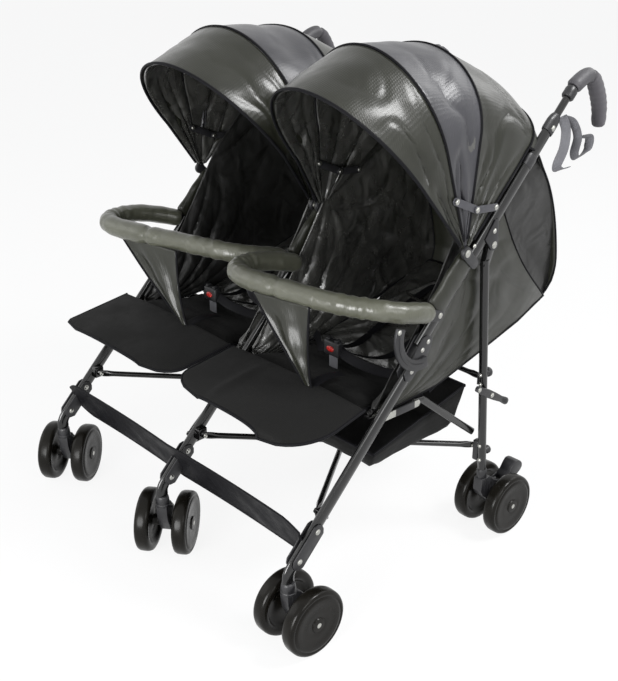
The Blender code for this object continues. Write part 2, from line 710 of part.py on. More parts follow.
def build_lock_link(name, side, direction, material, root):
    """Half of the folding brace between two rear legs; the halves lap where they meet."""
    x = SIDES[side]
    y = leg_y(LOCK_Z) - direction * LOCK_LAP
    start = Vector((x + direction * LOCK_SIDE, y, LOCK_Z))
    end = Vector((x + direction * (FRAME_PITCH / 2 + 0.0060), y, LOCK_Z))
    mesh = bmesh.new()
    rings = []
    length = (end - start).length
    for distance, half_up, half_deep in (
            (-0.0050, 0.0070, 0.0030), (0.0080, 0.0080, 0.0034), (0.0220, 0.0055, 0.0055),
            (length - 0.0200, 0.0055, 0.0055), (length - 0.0060, 0.0080, 0.0034),
            (length, 0.0070, 0.0030)):
        point = start + Vector((direction * distance, 0, 0))
        rings.append(add_ring(mesh, point, Vector((0, 0, 1)), Vector((0, 1, 0)), half_up,
                              half_deep, 10))
    add_loft(mesh, rings)
    add_piece(name, mesh, material, start, root)


def build_fold_lever(material, root):
    """The foot lever on the outside of the right rear leg that frees the fold."""
    x = SIDES["right"] + REAR_LEG_RADIUS + GAP
    slope = Vector((0.8480, -0.5300))
    square = Vector((0.5300, 0.8480))
    pivot = Vector(LEVER_PIVOT)
    outline = []
    for along, off in ((-0.42, -0.0060), (-0.10, -0.0085), (0.10, -0.0075), (0.46, -0.0075),
                       (0.50, 0.0000), (0.46, 0.0075), (0.10, 0.0075), (-0.10, 0.0085),
                       (-0.42, 0.0060)):
        point = pivot + slope * (along * LEVER_LENGTH) + square * off
        outline.append((point.x, point.y))
    mesh = bmesh.new()
    add_plate(mesh, outline, x, x + 0.0070)
    piece = add_piece("fold_lever", mesh, material, (x, *LEVER_PIVOT), root)
    add_bevel(piece, 0.0015)


def bow_height(angle):
    """The hood's height over its hub at an angle, with the cloth drawn in between bows."""
    for index in range(len(BOW_ANGLES) - 1):
        low, high = BOW_ANGLES[index], BOW_ANGLES[index + 1]
        if angle <= high or index == len(BOW_ANGLES) - 2:
            t = (angle - low) / (high - low)
            height = BOW_HEIGHTS[index] + (BOW_HEIGHTS[index + 1] - BOW_HEIGHTS[index]) * t
            return height - HOOD_SAG * math.sin(math.pi * min(max(t, 0.0), 1.0))
    return BOW_HEIGHTS[-1]


def hood_point(bay, angle, share):
    """A point of the hood's skin: share runs from 0 at one hub over the top to 1 at the other."""
    side_share = 0.20
    low, high = HOOD_WALLS[bay]
    top = bow_height(angle)
    if share < side_share or share > 1 - side_share:
        rise = min(share, 1 - share) / side_share
        radius = HOOD_HUB_RADIUS + (HOOD_CORNER - HOOD_HUB_RADIUS) * rise
        which = 1 if share > 0.5 else 0
        x = HOOD_HUBS[bay][which] * (1 - rise) + HOOD_WALLS[bay][which] * rise
    else:
        turn = math.pi * (share - side_share) / (1 - 2 * side_share)
        squareness = 2 / 2.1
        across = -math.copysign(abs(math.cos(turn)) ** squareness, math.cos(turn))
        x = (low + high) / 2 + across * (high - low) / 2
        radius = HOOD_CORNER + (top - HOOD_CORNER) * abs(math.sin(turn)) ** squareness
    heading = math.radians(angle)
    return Vector((x, HUB[0] - radius * math.cos(heading),
                   HUB[1] + radius * math.sin(heading)))


def hood_rows(bay, first, last, steps):
    rows = []
    for step in range(steps + 1):
        angle = first + (last - first) * step / steps
        shares = [0.0, 0.10] + [0.20 + 0.60 * index / 10 for index in range(11)] + [0.90, 1.0]
        rows.append([hood_point(bay, angle, share) for share in shares])
    return rows


def curtain_rows(bay):
    """The rear curtain below the hood's last bow, down to the top of the backrest."""
    middle = BAYS[bay] * FRAME_PITCH / 2
    bottom_y = BACK_PIVOT[0] + (BACK_LENGTH + 0.006) * math.cos(BACK_ANGLE)
    bottom_z = BACK_PIVOT[1] + BACK_LENGTH * math.sin(BACK_ANGLE) + 0.022
    rows = []
    for step in range(7):
        t = step / 6
        row = []
        for index in range(11):
            top = hood_point(bay, BOW_ANGLES[-1] + CURTAIN_TURN, 0.20 + 0.60 * index / 10)
            top.x = middle + (index / 5 - 1) * CURTAIN_HALF
            low = Vector((top.x, bottom_y, bottom_z))
            point = top.lerp(low, t)
            fold = 0.0040 * math.sin(index * 2.2 + 0.6) * math.sin(math.pi * t)
            point.y += 0.0300 * math.sin(math.pi * t) + fold
            row.append(point)
        rows.append(row)
    return rows


def build_hood(bay, cloth, root):
    """A hood in two pieces: the front panel on its bow, and the fixed rear with its curtain."""
    middle = BAYS[bay] * FRAME_PITCH / 2
    gap_angle = 0.5
    mesh = bmesh.new()
    add_sheet(mesh, hood_rows(bay, BOW_ANGLES[0], BOW_ANGLES[1] - gap_angle, 3))
    front = add_piece("hood_front_" + bay, mesh, cloth, (middle, *HUB), root)
    add_solidify(front, HOOD_SKIN)
    mesh = bmesh.new()
    lines = add_sheet(mesh, hood_rows(bay, BOW_ANGLES[1] + gap_angle, BOW_ANGLES[3], 7))
    add_sheet(mesh, curtain_rows(bay), above=lines[-1][2:-2])
    rear = add_piece("hood_rear_" + bay, mesh, cloth, (middle, *HUB), root)
    add_solidify(rear, HOOD_SKIN)


def build_seat(bay, cloth, root):
    """The seat cushion with its crown and channels, and the two cloth wings beside it."""
    middle = BAYS[bay] * FRAME_PITCH / 2
    mesh = bmesh.new()
    front = Vector((middle, *SEAT_FRONT))
    rear = Vector((middle, *SEAT_REAR))
    normal = Vector((0, -(rear.z - front.z), rear.y - front.y)).normalized()

    def place(u, v):
        pull = 0.010 * math.sin(math.pi * v)
        centre = front.lerp(rear, v)
        centre = centre - normal * 0.0060 * math.sin(math.pi * v)
        across = (2 * u - 1) * (SEAT_HALF - pull)
        return centre + Vector((across, 0, 0)), normal

    add_pad(mesh, place, 10, 6, SEAT_THICKNESS, 0.0050)
    low = FLANGE_Z
    wing = [(0.2300, low), (0.4300, low + 0.0060), (0.7200, 0.4840), (0.7560, 0.5180),
            (0.7360, 0.5950), (0.7020, 0.6750), (0.6620, 0.7550), (0.6120, 0.8250),
            (0.5800, 0.7950), (0.5000, 0.7180), (0.4560, 0.6350), (0.3600, 0.5220),
            (0.2640, 0.4330), (0.2300, low + 0.0060)]
    joined = []
    for sign in (-1.0, 1.0):
        x = middle + sign * WING_SIDE
        joined.append(new_plate(wing, x - WING_SKIN / 2, x + WING_SKIN / 2))
        joined.append(new_box((middle + sign * (SEAT_HALF - FLANGE_LAP), 0.2300, low),
                              (x + sign * WING_SKIN * 0.3, 0.3400, low + WING_SKIN)))
    add_piece("seat_" + bay, mesh, cloth, (middle, *SEAT_REAR), root, joined)


def build_back(bay, cloth, root):
    """The reclined backrest cushion, drawn in at its sides, with three sewn channels."""
    middle = BAYS[bay] * FRAME_PITCH / 2
    along = Vector((0, math.cos(BACK_ANGLE), math.sin(BACK_ANGLE)))
    normal = Vector((0, -math.sin(BACK_ANGLE), math.cos(BACK_ANGLE)))
    mesh = bmesh.new()

    def place(u, v):
        channel = 0.0025 * math.cos(v * 3 * math.tau)
        pull = 0.012 * math.sin(math.pi * v)
        corner = 0.035 * max(0.0, (v - 0.8) / 0.2) ** 2
        start = Vector((middle, *BACK_PIVOT)) + along * (0.006 + v * (BACK_LENGTH - 0.006))
        across = (2 * u - 1) * (SEAT_HALF - pull - corner)
        return start + normal * (0.0130 + channel) + Vector((across, 0, 0)), normal

    add_pad(mesh, place, 8, 12, BACK_THICKNESS, 0.0060)
    crease = Vector((middle, *BACK_PIVOT)) + normal * BACK_CREASE
    add_piece("back_" + bay, mesh, cloth, crease, root)


def build_bumper(bay, cloth, root):
    """The U-shaped bar in its sleeve, its two end tabs and the cloth panel to the calf rest."""
    middle = BAYS[bay] * BAR_MIDDLE
    mesh = bmesh.new()
    end_y, end_z = BAR_END
    front_y, front_z = BAR_FRONT
    rings = []
    count = 15
    for index in range(count):
        turn = math.pi * index / (count - 1)
        squareness = 2 / 2.9
        across = -math.copysign(abs(math.cos(turn)) ** squareness, math.cos(turn)) * BAR_HALF
        depth = abs(math.sin(turn)) ** squareness
        y = end_y + (front_y - end_y) * depth
        z = end_z + (front_z - end_z) * depth
        rings.append(Vector((middle + across, y, z)))
    route = rings
    rings = []
    for index, point in enumerate(route):
        tangent = (route[min(index + 1, count - 1)] - route[max(index - 1, 0)]).normalized()
        across = tangent.cross(Vector((0, 0, 1))).normalized()
        up = across.cross(tangent).normalized()
        size = BAR_RADIUS * (0.80 if index in (0, count - 1) else 1.0)
        rings.append(add_ring(mesh, point, across, up, size, size, 10))
    add_loft(mesh, rings)
    tab = [(end_y - 0.0040, end_z - 0.0120), (BAR_RIVET[0], BAR_RIVET[1] - 0.0110),
           (BAR_RIVET[0] + 0.0110, BAR_RIVET[1]), (BAR_RIVET[0], BAR_RIVET[1] + 0.0110),
           (end_y - 0.0040, end_z + 0.0120)]
    joined = []
    toward = BAYS[bay]
    # One tab lies outside the outer tube, the other on the bay's own side of the centre tube.
    for frame_x, sleeve_x in ((toward * FRAME_PITCH, middle + toward * BAR_HALF),
                              (0.0, middle - toward * BAR_HALF)):
        low = frame_x + toward * (TUBE_WIDTH / 2 + GAP)
        high = low + toward * TAB_THICKNESS
        joined.append(new_plate(tab, min(low, high), max(low, high)))
        joined.append(new_box((high - toward * SINK * 2, end_y - 0.0060, end_z - 0.0100),
                              (sleeve_x, end_y + 0.0080, end_z + 0.0100)))
    centre = toward * FRAME_PITCH / 2
    top_z = front_z - BAR_RADIUS + 0.0040
    rows = []
    for step in range(4):
        t = step / 3
        half = 0.0640 * (1 - t) ** 1.25 + 0.0110
        y = front_y - 0.0040 + (CALF_REAR[0] - 0.0120 - front_y) * t
        z = top_z + (CALF_REAR[1] + 0.0105 - top_z) * t
        rows.append([Vector((centre + (index / 2 - 1) * half, y, z)) for index in range(5)])
    joined.append(new_slab(rows, Vector((0, 0.0035, 0))))
    add_piece("bumper_" + bay, mesh, cloth, (middle, *BAR_RIVET), root, joined)


def build_calf_rest(bay, cloth, root):
    """The stiff cloth-covered flap in front of the seat, rounded at its front corners."""
    middle = BAYS[bay] * FRAME_PITCH / 2
    front = Vector((middle, *CALF_FRONT))
    rear = Vector((middle, *CALF_REAR))
    normal = Vector((0, -(rear.z - front.z), rear.y - front.y)).normalized()
    mesh = bmesh.new()

    def place(u, v):
        reach = (rear - front).length * v
        cut = max(0.0, 1 - reach / CALF_CORNER)
        half = CALF_HALF - CALF_CORNER * (1 - math.sqrt(1 - min(cut, 1.0) ** 2)) * 0.8
        arch = 0.0060 * (1 - (2 * u - 1) ** 2)
        return front.lerp(rear, v) + Vector(((2 * u - 1) * half, 0, 0)) + normal * arch, normal

    add_pad(mesh, place, 8, 6, CALF_THICKNESS, 0.0010)
    add_piece("calf_rest_" + bay, mesh, cloth, (middle, *CALF_REAR), root)


def build_footrest(cloth, root):
    """The band that the feet rest on: two halves in moulded saddles that wrap the legs."""
    lean = Vector((0, -math.sin(BAND_LEAN), math.cos(BAND_LEAN)))
    low = TUBE_WIDTH / 2 + GAP
    high = low + EAR_THICKNESS
    bands = []
    for bay in BAYS:
        middle = BAYS[bay] * FRAME_PITCH / 2
        half = FRAME_PITCH / 2 - low - SINK
        rows = []
        for step in (-0.5, 0.0, 0.5):
            row = []
            for index in range(7):
                share = index / 3 - 1
                point = Vector((middle + share * half, *BAND_MIDDLE)) + lean * (step * BAND_WIDTH)
                point.y += BAND_BOW * (1 - share ** 2)
                row.append(point)
            rows.append(row)
        bands.append(new_slab(rows, lean.cross(Vector((1, 0, 0))) * BAND_THICKNESS))
    along = Vector((1.0, 1.0)).normalized()
    square = Vector((-1.0, 1.0)).normalized()
    middle = Vector((BAND_MIDDLE[1] - LEG_RISE, BAND_MIDDLE[1]))
    depth = TUBE_DEPTH / 2 + GAP
    wall = depth + EAR_THICKNESS
    ear = [middle + along * a + square * b
           for a, b in ((-0.050, -wall), (0.032, -wall), (0.040, 0.0), (0.032, depth),
                        (-0.050, depth), (-0.058, 0.0))]
    web = [middle + along * a + square * b
           for a, b in ((-0.040, SINK - wall), (0.026, SINK - wall), (0.026, -depth),
                        (-0.040, -depth))]
    ears = []
    for side, x in SIDES.items():
        for direction in (-1.0, 1.0):
            ears.append(new_plate([tuple(point) for point in ear],
                                  x + direction * low, x + direction * high))
        ears.append(new_plate([tuple(point) for point in web], x - low - SINK, x + low + SINK))
    add_piece("footrest", bands[0], cloth, (0, *BAND_MIDDLE), root, [bands[1], *ears])


def build_basket(cloth, root):
    """The sling basket under the seats: an open tray of cloth that dips under the centre links."""
    mesh = bmesh.new()
    depth_stations = (0.0, 0.04, 0.28, 0.55, 0.82, 0.95, 1.0)
    half = FRAME_PITCH - CROSS_SIDE
    width_stations = (-1.0, -0.96, -0.55, -0.10, -0.07, 0.0, 0.07, 0.10, 0.55, 0.96, 1.0)
    rows = []
    for v in depth_stations:
        rim = BASKET_FRONT_Z + (BASKET_REAR_Z - BASKET_FRONT_Z) * v
        row = []
        for u in width_stations:
            wall = abs(u) == 1.0 or v in (0.0, 1.0)
            z = rim if wall and abs(u) >= 0.10 else BASKET_FLOOR_Z
            if abs(u) < 0.10:
                z -= BASKET_DIP * max(0.0, 2 * v - 1)
            y = BASKET_FRONT_Y + (BASKET_REAR_Y - BASKET_FRONT_Y) * v
            row.append(Vector((u * half, y, z)))
        rows.append(row)
    add_sheet(mesh, rows)
    piece = add_piece("basket", mesh, cloth, (0, BASKET_REAR_Y, BASKET_FLOOR_Z), root)
    add_solidify(piece, BASKET_SKIN)


def add_oval(mesh, middle, low_y, high_y, clearance):
    """A flat oval button shape between two y values, grown by a clearance all round."""
    matrix = Matrix.Translation((middle, (low_y + high_y) / 2, BUCKLE_Z))
    matrix = matrix @ Matrix.Diagonal((BUTTON_SIZE[0] / 2 + clearance, 1.0,
                                       BUTTON_SIZE[2] / 2 + clearance, 1.0))
    matrix = matrix @ Matrix.Rotation(math.radians(90), 4, "X")
    bmesh.ops.create_cone(mesh, cap_ends=True, segments=16, radius1=1.0, radius2=1.0,
                          depth=high_y - low_y, matrix=matrix)


def build_buckle(bay, plastic, red, root):
    """The harness buckle on its crotch strap, with the press button sunk in its pocket."""
    middle = BAYS[bay] * FRAME_PITCH / 2
    width, depth, height = BUCKLE_SIZE
    face_y = BUCKLE_Y - depth / 2
    mesh = bmesh.new()
    add_box(mesh, (middle, BUCKLE_Y, BUCKLE_Z), BUCKLE_SIZE)
    strap = new_box((middle - 0.0125, BUCKLE_Y - 0.0015, STRAP_FOOT_Z),
                    (middle + 0.0125, BUCKLE_Y + 0.0015, BUCKLE_Z - height / 2 + 0.0020))
    buckle = add_piece("buckle_" + bay, mesh, plastic, (middle, BUCKLE_Y, BUCKLE_Z), root, [strap])
    mesh = bmesh.new()
    floor_y = face_y + BUTTON_SIZE[1] - BUTTON_PROUD + BUTTON_TRAVEL + BUCKLE_EDGE + GAP
    add_oval(mesh, middle, face_y - BUTTON_PROUD, floor_y, BUTTON_CLEARANCE)
    cutter = add_piece("buckle_pocket_" + bay, mesh, plastic, (middle, face_y, BUCKLE_Z), root)
    cutter.hide_render = True
    cutter.display_type = "WIRE"
    pocket = buckle.modifiers.new("Button pocket", "BOOLEAN")
    pocket.object = cutter
    pocket.operation = "DIFFERENCE"
    pocket.solver = "EXACT"
    add_bevel(buckle, BUCKLE_EDGE)
    mesh = bmesh.new()
    front_y = face_y - BUTTON_PROUD
    add_oval(mesh, middle, front_y, front_y + BUTTON_SIZE[1], 0.0)
    add_piece("button_" + bay, mesh, red, (middle, front_y, BUCKLE_Z), root)


def build_stroller():
    root = bpy.data.objects.new("stroller", None)
    bpy.context.scene.collection.objects.link(root)
    root.location = -ORIGIN
    gloss_paint = make_material("black_gloss_paint", (0.012, 0.012, 0.012), 0.22, 0.4)
    zinc = make_material("zinc_plated_steel", (0.62, 0.62, 0.60), 0.35, 1.0)
    moulding = make_material("black_moulding", (0.030, 0.030, 0.030), 0.45)
    tread = make_material("glossy_wheel", (0.030, 0.028, 0.025), 0.25)
    foam = make_material("foam_grip", (0.030, 0.028, 0.030), 0.80)
    nylon = make_material("black_nylon", (0.028, 0.030, 0.026), 0.45)
    padding = make_material("matte_cloth", (0.020, 0.020, 0.018), 0.85)
    webbing = make_material("matte_webbing", (0.010, 0.010, 0.010), 0.80)
    button = make_material("red_button", (0.60, 0.020, 0.020), 0.35)
    for side, x in SIDES.items():
        front_axle = build_caster(side, moulding, root)
        build_wheels("front_wheels_" + side, front_axle, SWIVELS[side], tread, root)
        build_front_leg(side, gloss_paint, root)
        build_side_joint(side, moulding, root)
        build_push_tube(side, gloss_paint, root)
        build_grip(side, foam, root)
        rear_axle = build_rear_leg(side, gloss_paint, root)
        build_wheels("rear_wheels_" + side, rear_axle, 0.0, tread, root)
        build_brake(side, moulding, root)
        build_side_links(side, zinc, gloss_paint, root)
    for name, side, direction in (
            ("cross_bar_left_outer", "left", 1.0), ("cross_bar_left_inner", "centre", -1.0),
            ("cross_bar_right_inner", "centre", 1.0), ("cross_bar_right_outer", "right", -1.0)):
        build_cross_bar(name, side, direction, gloss_paint, root)
    for name, side, direction in (
            ("lock_link_left_outer", "left", 1.0), ("lock_link_left_inner", "centre", -1.0),
            ("lock_link_right_inner", "centre", 1.0), ("lock_link_right_outer", "right", -1.0)):
        build_lock_link(name, side, direction, gloss_paint, root)
    build_fold_lever(moulding, root)
    for bay in BAYS:
        build_hood(bay, nylon, root)
        build_seat(bay, nylon, root)
        build_back(bay, nylon, root)
        build_bumper(bay, nylon, root)
        build_calf_rest(bay, padding, root)
        build_buckle(bay, moulding, button, root)
    build_footrest(webbing, root)
    build_basket(padding, root)


clear_scene()
build_stroller()
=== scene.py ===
"""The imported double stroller, dressed for a look: tubes, mouldings, wheels and cloth."""
from math import atan2, cos, degrees, exp, pi, radians, sin, sqrt, tau

import bmesh
import bpy
from mathutils import Matrix, Vector, noise


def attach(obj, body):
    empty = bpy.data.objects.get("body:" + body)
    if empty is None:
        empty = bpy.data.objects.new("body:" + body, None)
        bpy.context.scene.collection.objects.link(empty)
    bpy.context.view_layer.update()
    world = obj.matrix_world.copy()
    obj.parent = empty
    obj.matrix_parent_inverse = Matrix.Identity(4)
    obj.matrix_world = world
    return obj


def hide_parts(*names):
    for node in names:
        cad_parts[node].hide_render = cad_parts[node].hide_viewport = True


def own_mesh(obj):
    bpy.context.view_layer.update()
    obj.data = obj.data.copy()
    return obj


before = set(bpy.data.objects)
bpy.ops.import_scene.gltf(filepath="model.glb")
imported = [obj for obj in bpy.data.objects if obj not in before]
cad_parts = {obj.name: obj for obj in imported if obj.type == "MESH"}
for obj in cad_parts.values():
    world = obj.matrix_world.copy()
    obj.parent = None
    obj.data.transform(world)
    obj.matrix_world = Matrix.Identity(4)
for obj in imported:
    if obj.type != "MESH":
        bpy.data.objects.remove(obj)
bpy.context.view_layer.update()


# The photograph was taken from the seats' front right, a little above the hoods, with a lens
# long enough that the far frame is hardly smaller than the near one.
bearing, height_angle = radians(47.31), radians(24.535)
towards_lens = Vector((sin(bearing) * cos(height_angle), -cos(bearing) * cos(height_angle),
                       sin(height_angle)))
right_hand = Vector((cos(bearing), sin(bearing), 0))
upwards = towards_lens.cross(right_hand)
lens = bpy.data.cameras.new("camera")
lens.sensor_fit = "VERTICAL"
lens.sensor_height = 36
lens.lens = 55.42
lens.clip_end = 50
camera = bpy.data.objects.new("camera", lens)
camera.matrix_world = Matrix.Translation((1.612837, -1.454376, 1.36487)) @ Matrix(
    (right_hand, upwards, towards_lens)).transposed().to_4x4()
bpy.context.scene.collection.objects.link(camera)
bpy.context.scene.camera = camera
bpy.context.scene.view_settings.view_transform = "Standard"


# A white paper floor that keeps a soft shadow, a white surround, and five wide lamps: the key
# behind the right side, one lower in front, and softer ones at the sides and the rear.


def colour(code):
    """A linear colour from an sRGB hex code."""
    parts = [int(code[place:place + 2], 16) / 255 for place in (1, 3, 5)]
    return (*[part / 12.92 if part < 0.04045 else ((part + 0.055) / 1.055) ** 2.4
              for part in parts], 1)


def add_node(tree, kind, settings=None, links=None):
    """Adds a node with its settings, and links its inputs to the sockets given."""
    node = tree.nodes.new("ShaderNode" + kind)
    for name, value in (settings or {}).items():
        if name in node.inputs:
            node.inputs[name].default_value = value
        else:
            setattr(node, name, value)
    for name, source in (links or {}).items():
        tree.links.new(source, node.inputs[name])
    return node


def white_seen(tree, shader, share):
    """Shows a surface or the world as white to the lens and in reflections, by a share."""
    path = add_node(tree, "LightPath")
    seen = path.outputs["Is Camera Ray"]
    for ray in ("Is Glossy Ray", "Is Transmission Ray"):
        either = add_node(tree, "Math", {"operation": "MAXIMUM"})
        tree.links.new(seen, either.inputs[0])
        tree.links.new(path.outputs[ray], either.inputs[1])
        seen = either.outputs[0]
    weight = add_node(tree, "Math", {"operation": "MULTIPLY"})
    tree.links.new(seen, weight.inputs[0])
    weight.inputs[1].default_value = share
    mix = add_node(tree, "MixShader")
    tree.links.new(weight.outputs[0], mix.inputs[0])
    tree.links.new(shader.outputs[0], mix.inputs[1])
    return mix


paper = bpy.data.materials.new("white_paper_floor")
paper.use_nodes = True
paper.node_tree.nodes.clear()
paper_diffuse = add_node(paper.node_tree, "BsdfDiffuse", {"Color": colour("#f2f2f2")})
paper_mix = white_seen(paper.node_tree, paper_diffuse, 0.88)
paper_glow = add_node(paper.node_tree, "Emission", {"Color": colour("#ffffff"), "Strength": 1.0})
paper.node_tree.links.new(paper_glow.outputs[0], paper_mix.inputs[2])
add_node(paper.node_tree, "OutputMaterial", links={"Surface": paper_mix.outputs[0]})

floor_mesh = bmesh.new()
bmesh.ops.create_grid(floor_mesh, x_segments=1, y_segments=1, size=40,
                      matrix=Matrix.Translation((0, 0, -0.0006)))
floor_data = bpy.data.meshes.new("floor")
floor_mesh.to_mesh(floor_data)
floor_mesh.free()
floor_data.materials.append(paper)
floor = bpy.data.objects.new("floor", floor_data)
bpy.context.scene.collection.objects.link(floor)

world = bpy.data.worlds.new("studio")
bpy.context.scene.world = world
world.use_nodes = True
world.node_tree.nodes.clear()
sky = add_node(world.node_tree, "Background", {"Color": colour("#f4f6fa"), "Strength": 0.50})
sky_mix = white_seen(world.node_tree, sky, 1.0)
sky_white = add_node(world.node_tree, "Background", {"Color": colour("#ffffff"), "Strength": 1.0})
world.node_tree.links.new(sky_white.outputs[0], sky_mix.inputs[2])
add_node(world.node_tree, "OutputWorld", links={"Surface": sky_mix.outputs[0]})

for lamp_name, place, power, width in (("key_lamp", (1.8, 0.9, 2.8), 62, 0.9),
                                       ("side_lamp", (2.7, -0.6, 1.9), 20, 1.3),
                                       ("fill_lamp", (-2.2, -2.2, 1.9), 14, 2.2),
                                       ("front_lamp", (0.9, -2.8, 1.0), 80, 1.5),
                                       ("rear_lamp", (0.4, 2.7, 2.4), 20, 1.8)):
    lamp_data = bpy.data.lights.new(lamp_name, "AREA")
    lamp_data.shape = "DISK"
    lamp_data.size = width
    lamp_data.energy = power
    lamp = bpy.data.objects.new(lamp_name, lamp_data)
    lamp.location = place
    lamp.rotation_euler = (Vector(place) - Vector((0, 0, 0.5))).to_track_quat("Z", "Y").to_euler()
    bpy.context.scene.collection.objects.link(lamp)


# Lower half of each side frame: 28 x 15 mm oval steel tube, bent upright at its foot and
# sprayed gloss black, with a riveted pivot block for each cross bar that starts there.

FRAME_X = {"left": -0.400, "centre": 0.0, "right": 0.400}
OVAL = (0.0075, 0.0140)
SWIVEL = {"left": radians(37), "centre": radians(38), "right": 0.0}
INWARD = {"left": (1,), "centre": (-1, 1), "right": (-1,)}
# Half the step between the two bars that cross in a bay.
STAGGER = 0.010


# Where the drawing's origin, on the floor under the centre front swivel, lies in the frame.
ORIGIN_X, ORIGIN_Y = 0.0228473, -0.4090861


def at(x, y, z):
    """A point of the part's own drawing, whose y starts at the front swivels, in the frame."""
    return Vector((x + ORIGIN_X, y + ORIGIN_Y, z))


def finish_of(name, slot, base, roughness, drift, coordinates="Object", **sockets):
    """A material with one drifting Principled shader, and its tree, shader and coordinates."""
    material = bpy.data.materials.new(name)
    material.use_nodes = True
    tree = material.node_tree
    shader = tree.nodes["Principled BSDF"]
    shader.inputs["Base Color"].default_value = colour(base)
    shader.inputs["Roughness"].default_value = roughness
    for socket, value in sockets.items():
        shader.inputs[socket.replace("_", " ")].default_value = value
    place = add_node(tree, "TexCoord").outputs[coordinates]
    patchy(tree, shader, place, *drift)
    return material, (tree, shader, place)


def patchy(tree, shader, place, scale, low, high, dark, light):
    """Lets roughness and colour drift over a surface, as handling and wear leave them."""
    cloud = add_node(tree, "TexNoise", {"Scale": scale, "Detail": 4.0}, {"Vector": place})
    rough = add_node(tree, "MapRange", {"From Min": 0.35, "From Max": 0.65, "To Min": low,
                                        "To Max": high}, {"Value": cloud.outputs["Fac"]})
    tree.links.new(rough.outputs[0], shader.inputs["Roughness"])
    tint = add_node(tree, "Mix", {"data_type": "RGBA"}, {"Factor": cloud.outputs["Fac"]})
    tint.inputs[6].default_value = colour(dark)
    tint.inputs[7].default_value = colour(light)
    tree.links.new(tint.outputs[2], shader.inputs["Base Color"])


def grained(tree, shader, place, kind, settings, strength, depth):
    """Bumps a surface with the grain of a texture node."""
    texture = add_node(tree, kind, settings, {"Vector": place})
    bump = add_node(tree, "Bump", {"Strength": strength, "Distance": depth},
                    {"Height": texture.outputs[0]})
    tree.links.new(bump.outputs[0], shader.inputs["Normal"])


# Gloss black powder coat: deep black, a hard clear shine and the faint ripple of the spray.
gloss_paint, nodes = finish_of("gloss_black_powder_coat", "black_gloss_paint", "#0b0b0b", 0.28,
                               (38, 0.14, 0.24, "#080808", "#0f0f0f"), Coat_Weight=0.3,
                               Coat_Roughness=0.1)
grained(*nodes, "TexNoise", {"Scale": 1 / 0.004, "Detail": 2.0}, 0.10, 0.0004)

# Bright zinc on rivets and screws: pale grey, slightly cloudy, a soft metal shine.
bright_zinc, nodes = finish_of("bright_zinc_plate", "zinc_plated_steel", "#b9b9b4", 0.3,
                               (160, 0.22, 0.42, "#9c9c97", "#c9c9c4"), Metallic=1.0)


def loop_edges(ring):
    """The edges that join the neighbouring vertices of one ring."""
    members = set(ring)
    return list({edge for vertex in ring for edge in vertex.link_edges
                 if edge.other_vert(vertex) in members})


def sweep(mesh, route, size, sides=24, across=(1, 0, 0)):
    """Bridges oval rings along a route; size(share) gives their half widths."""
    route = [Vector(point) for point in route]
    rings = []
    for index, point in enumerate(route):
        run = (route[min(index + 1, len(route) - 1)] - route[max(index - 1, 0)]).normalized()
        side = (Vector(across) - run * run.dot(Vector(across))).normalized()
        half_side, half_up = size(index / (len(route) - 1))
        turn = Matrix((side * half_side, run.cross(side) * half_up, run)).transposed().to_4x4()
        ring = bmesh.ops.create_circle(mesh, segments=sides, radius=1,
                                       matrix=Matrix.Translation(point) @ turn)
        rings.append(ring["verts"])
    for lower, upper in zip(rings, rings[1:]):
        bmesh.ops.bridge_loops(mesh, edges=loop_edges(lower) + loop_edges(upper))
    for ring in (rings[0], rings[-1]):
        bmesh.ops.contextual_create(mesh, geom=loop_edges(ring))


def curve(points, steps):
    """A smooth line through a few points, with a number of steps between each two."""
    points = [Vector(point) for point in points]
    line = []
    for index in range(len(points) - 1):
        before, start = points[max(index - 1, 0)], points[index]
        end, after = points[index + 1], points[min(index + 2, len(points) - 1)]
        for step in range(steps):
            t = step / steps
            line.append(0.5 * (2 * start + (end - before) * t
                               + (2 * before - 5 * start + 4 * end - after) * t * t
                               + (3 * start - before - 3 * end + after) * t ** 3))
    return line + [points[-1]]


def spun(mesh, profile, centre, axis, steps=32):
    """Turns a profile of (height, radius) about an axis through a centre."""
    chain = [mesh.verts.new((radius, 0, height)) for height, radius in profile]
    edges = [mesh.edges.new(pair) for pair in zip(chain, chain[1:])]
    made = bmesh.ops.spin(mesh, geom=chain + edges, cent=(0, 0, 0), axis=(0, 0, 1), angle=tau,
                          steps=steps, use_merge=True)
    seen, left = set(chain), list(chain)
    while left:
        for edge in left.pop().link_edges:
            for vertex in edge.verts:
                if vertex not in seen:
                    seen.add(vertex)
                    left.append(vertex)
    turn = Vector((0, 0, 1)).rotation_difference(Vector(axis)).to_matrix()
    for vertex in seen:
        vertex.co = turn @ vertex.co + Vector(centre)
    bmesh.ops.remove_doubles(mesh, verts=list(seen), dist=0.00002)


def plate(mesh, outline, start_x, end_x, edge=0.0008):
    """A flat plate square to x, from an outline of (y, z), with rounded edges."""
    low_x, high_x = sorted((start_x, end_x))
    corners = [mesh.verts.new(at(low_x, y, z)) for y, z in outline]
    face = mesh.faces.new(corners)
    grown = bmesh.ops.extrude_face_region(mesh, geom=[face])["geom"]
    moved = [item for item in grown if isinstance(item, bmesh.types.BMVert)]
    bmesh.ops.translate(mesh, verts=moved, vec=(high_x - low_x, 0, 0))
    rims = [item for vertex in corners + moved for item in vertex.link_edges]
    bmesh.ops.bevel(mesh, geom=list(set(rims)), offset=edge, offset_type="OFFSET", segments=2,
                    profile=0.5, affect="EDGES", material=-1, clamp_overlap=True)


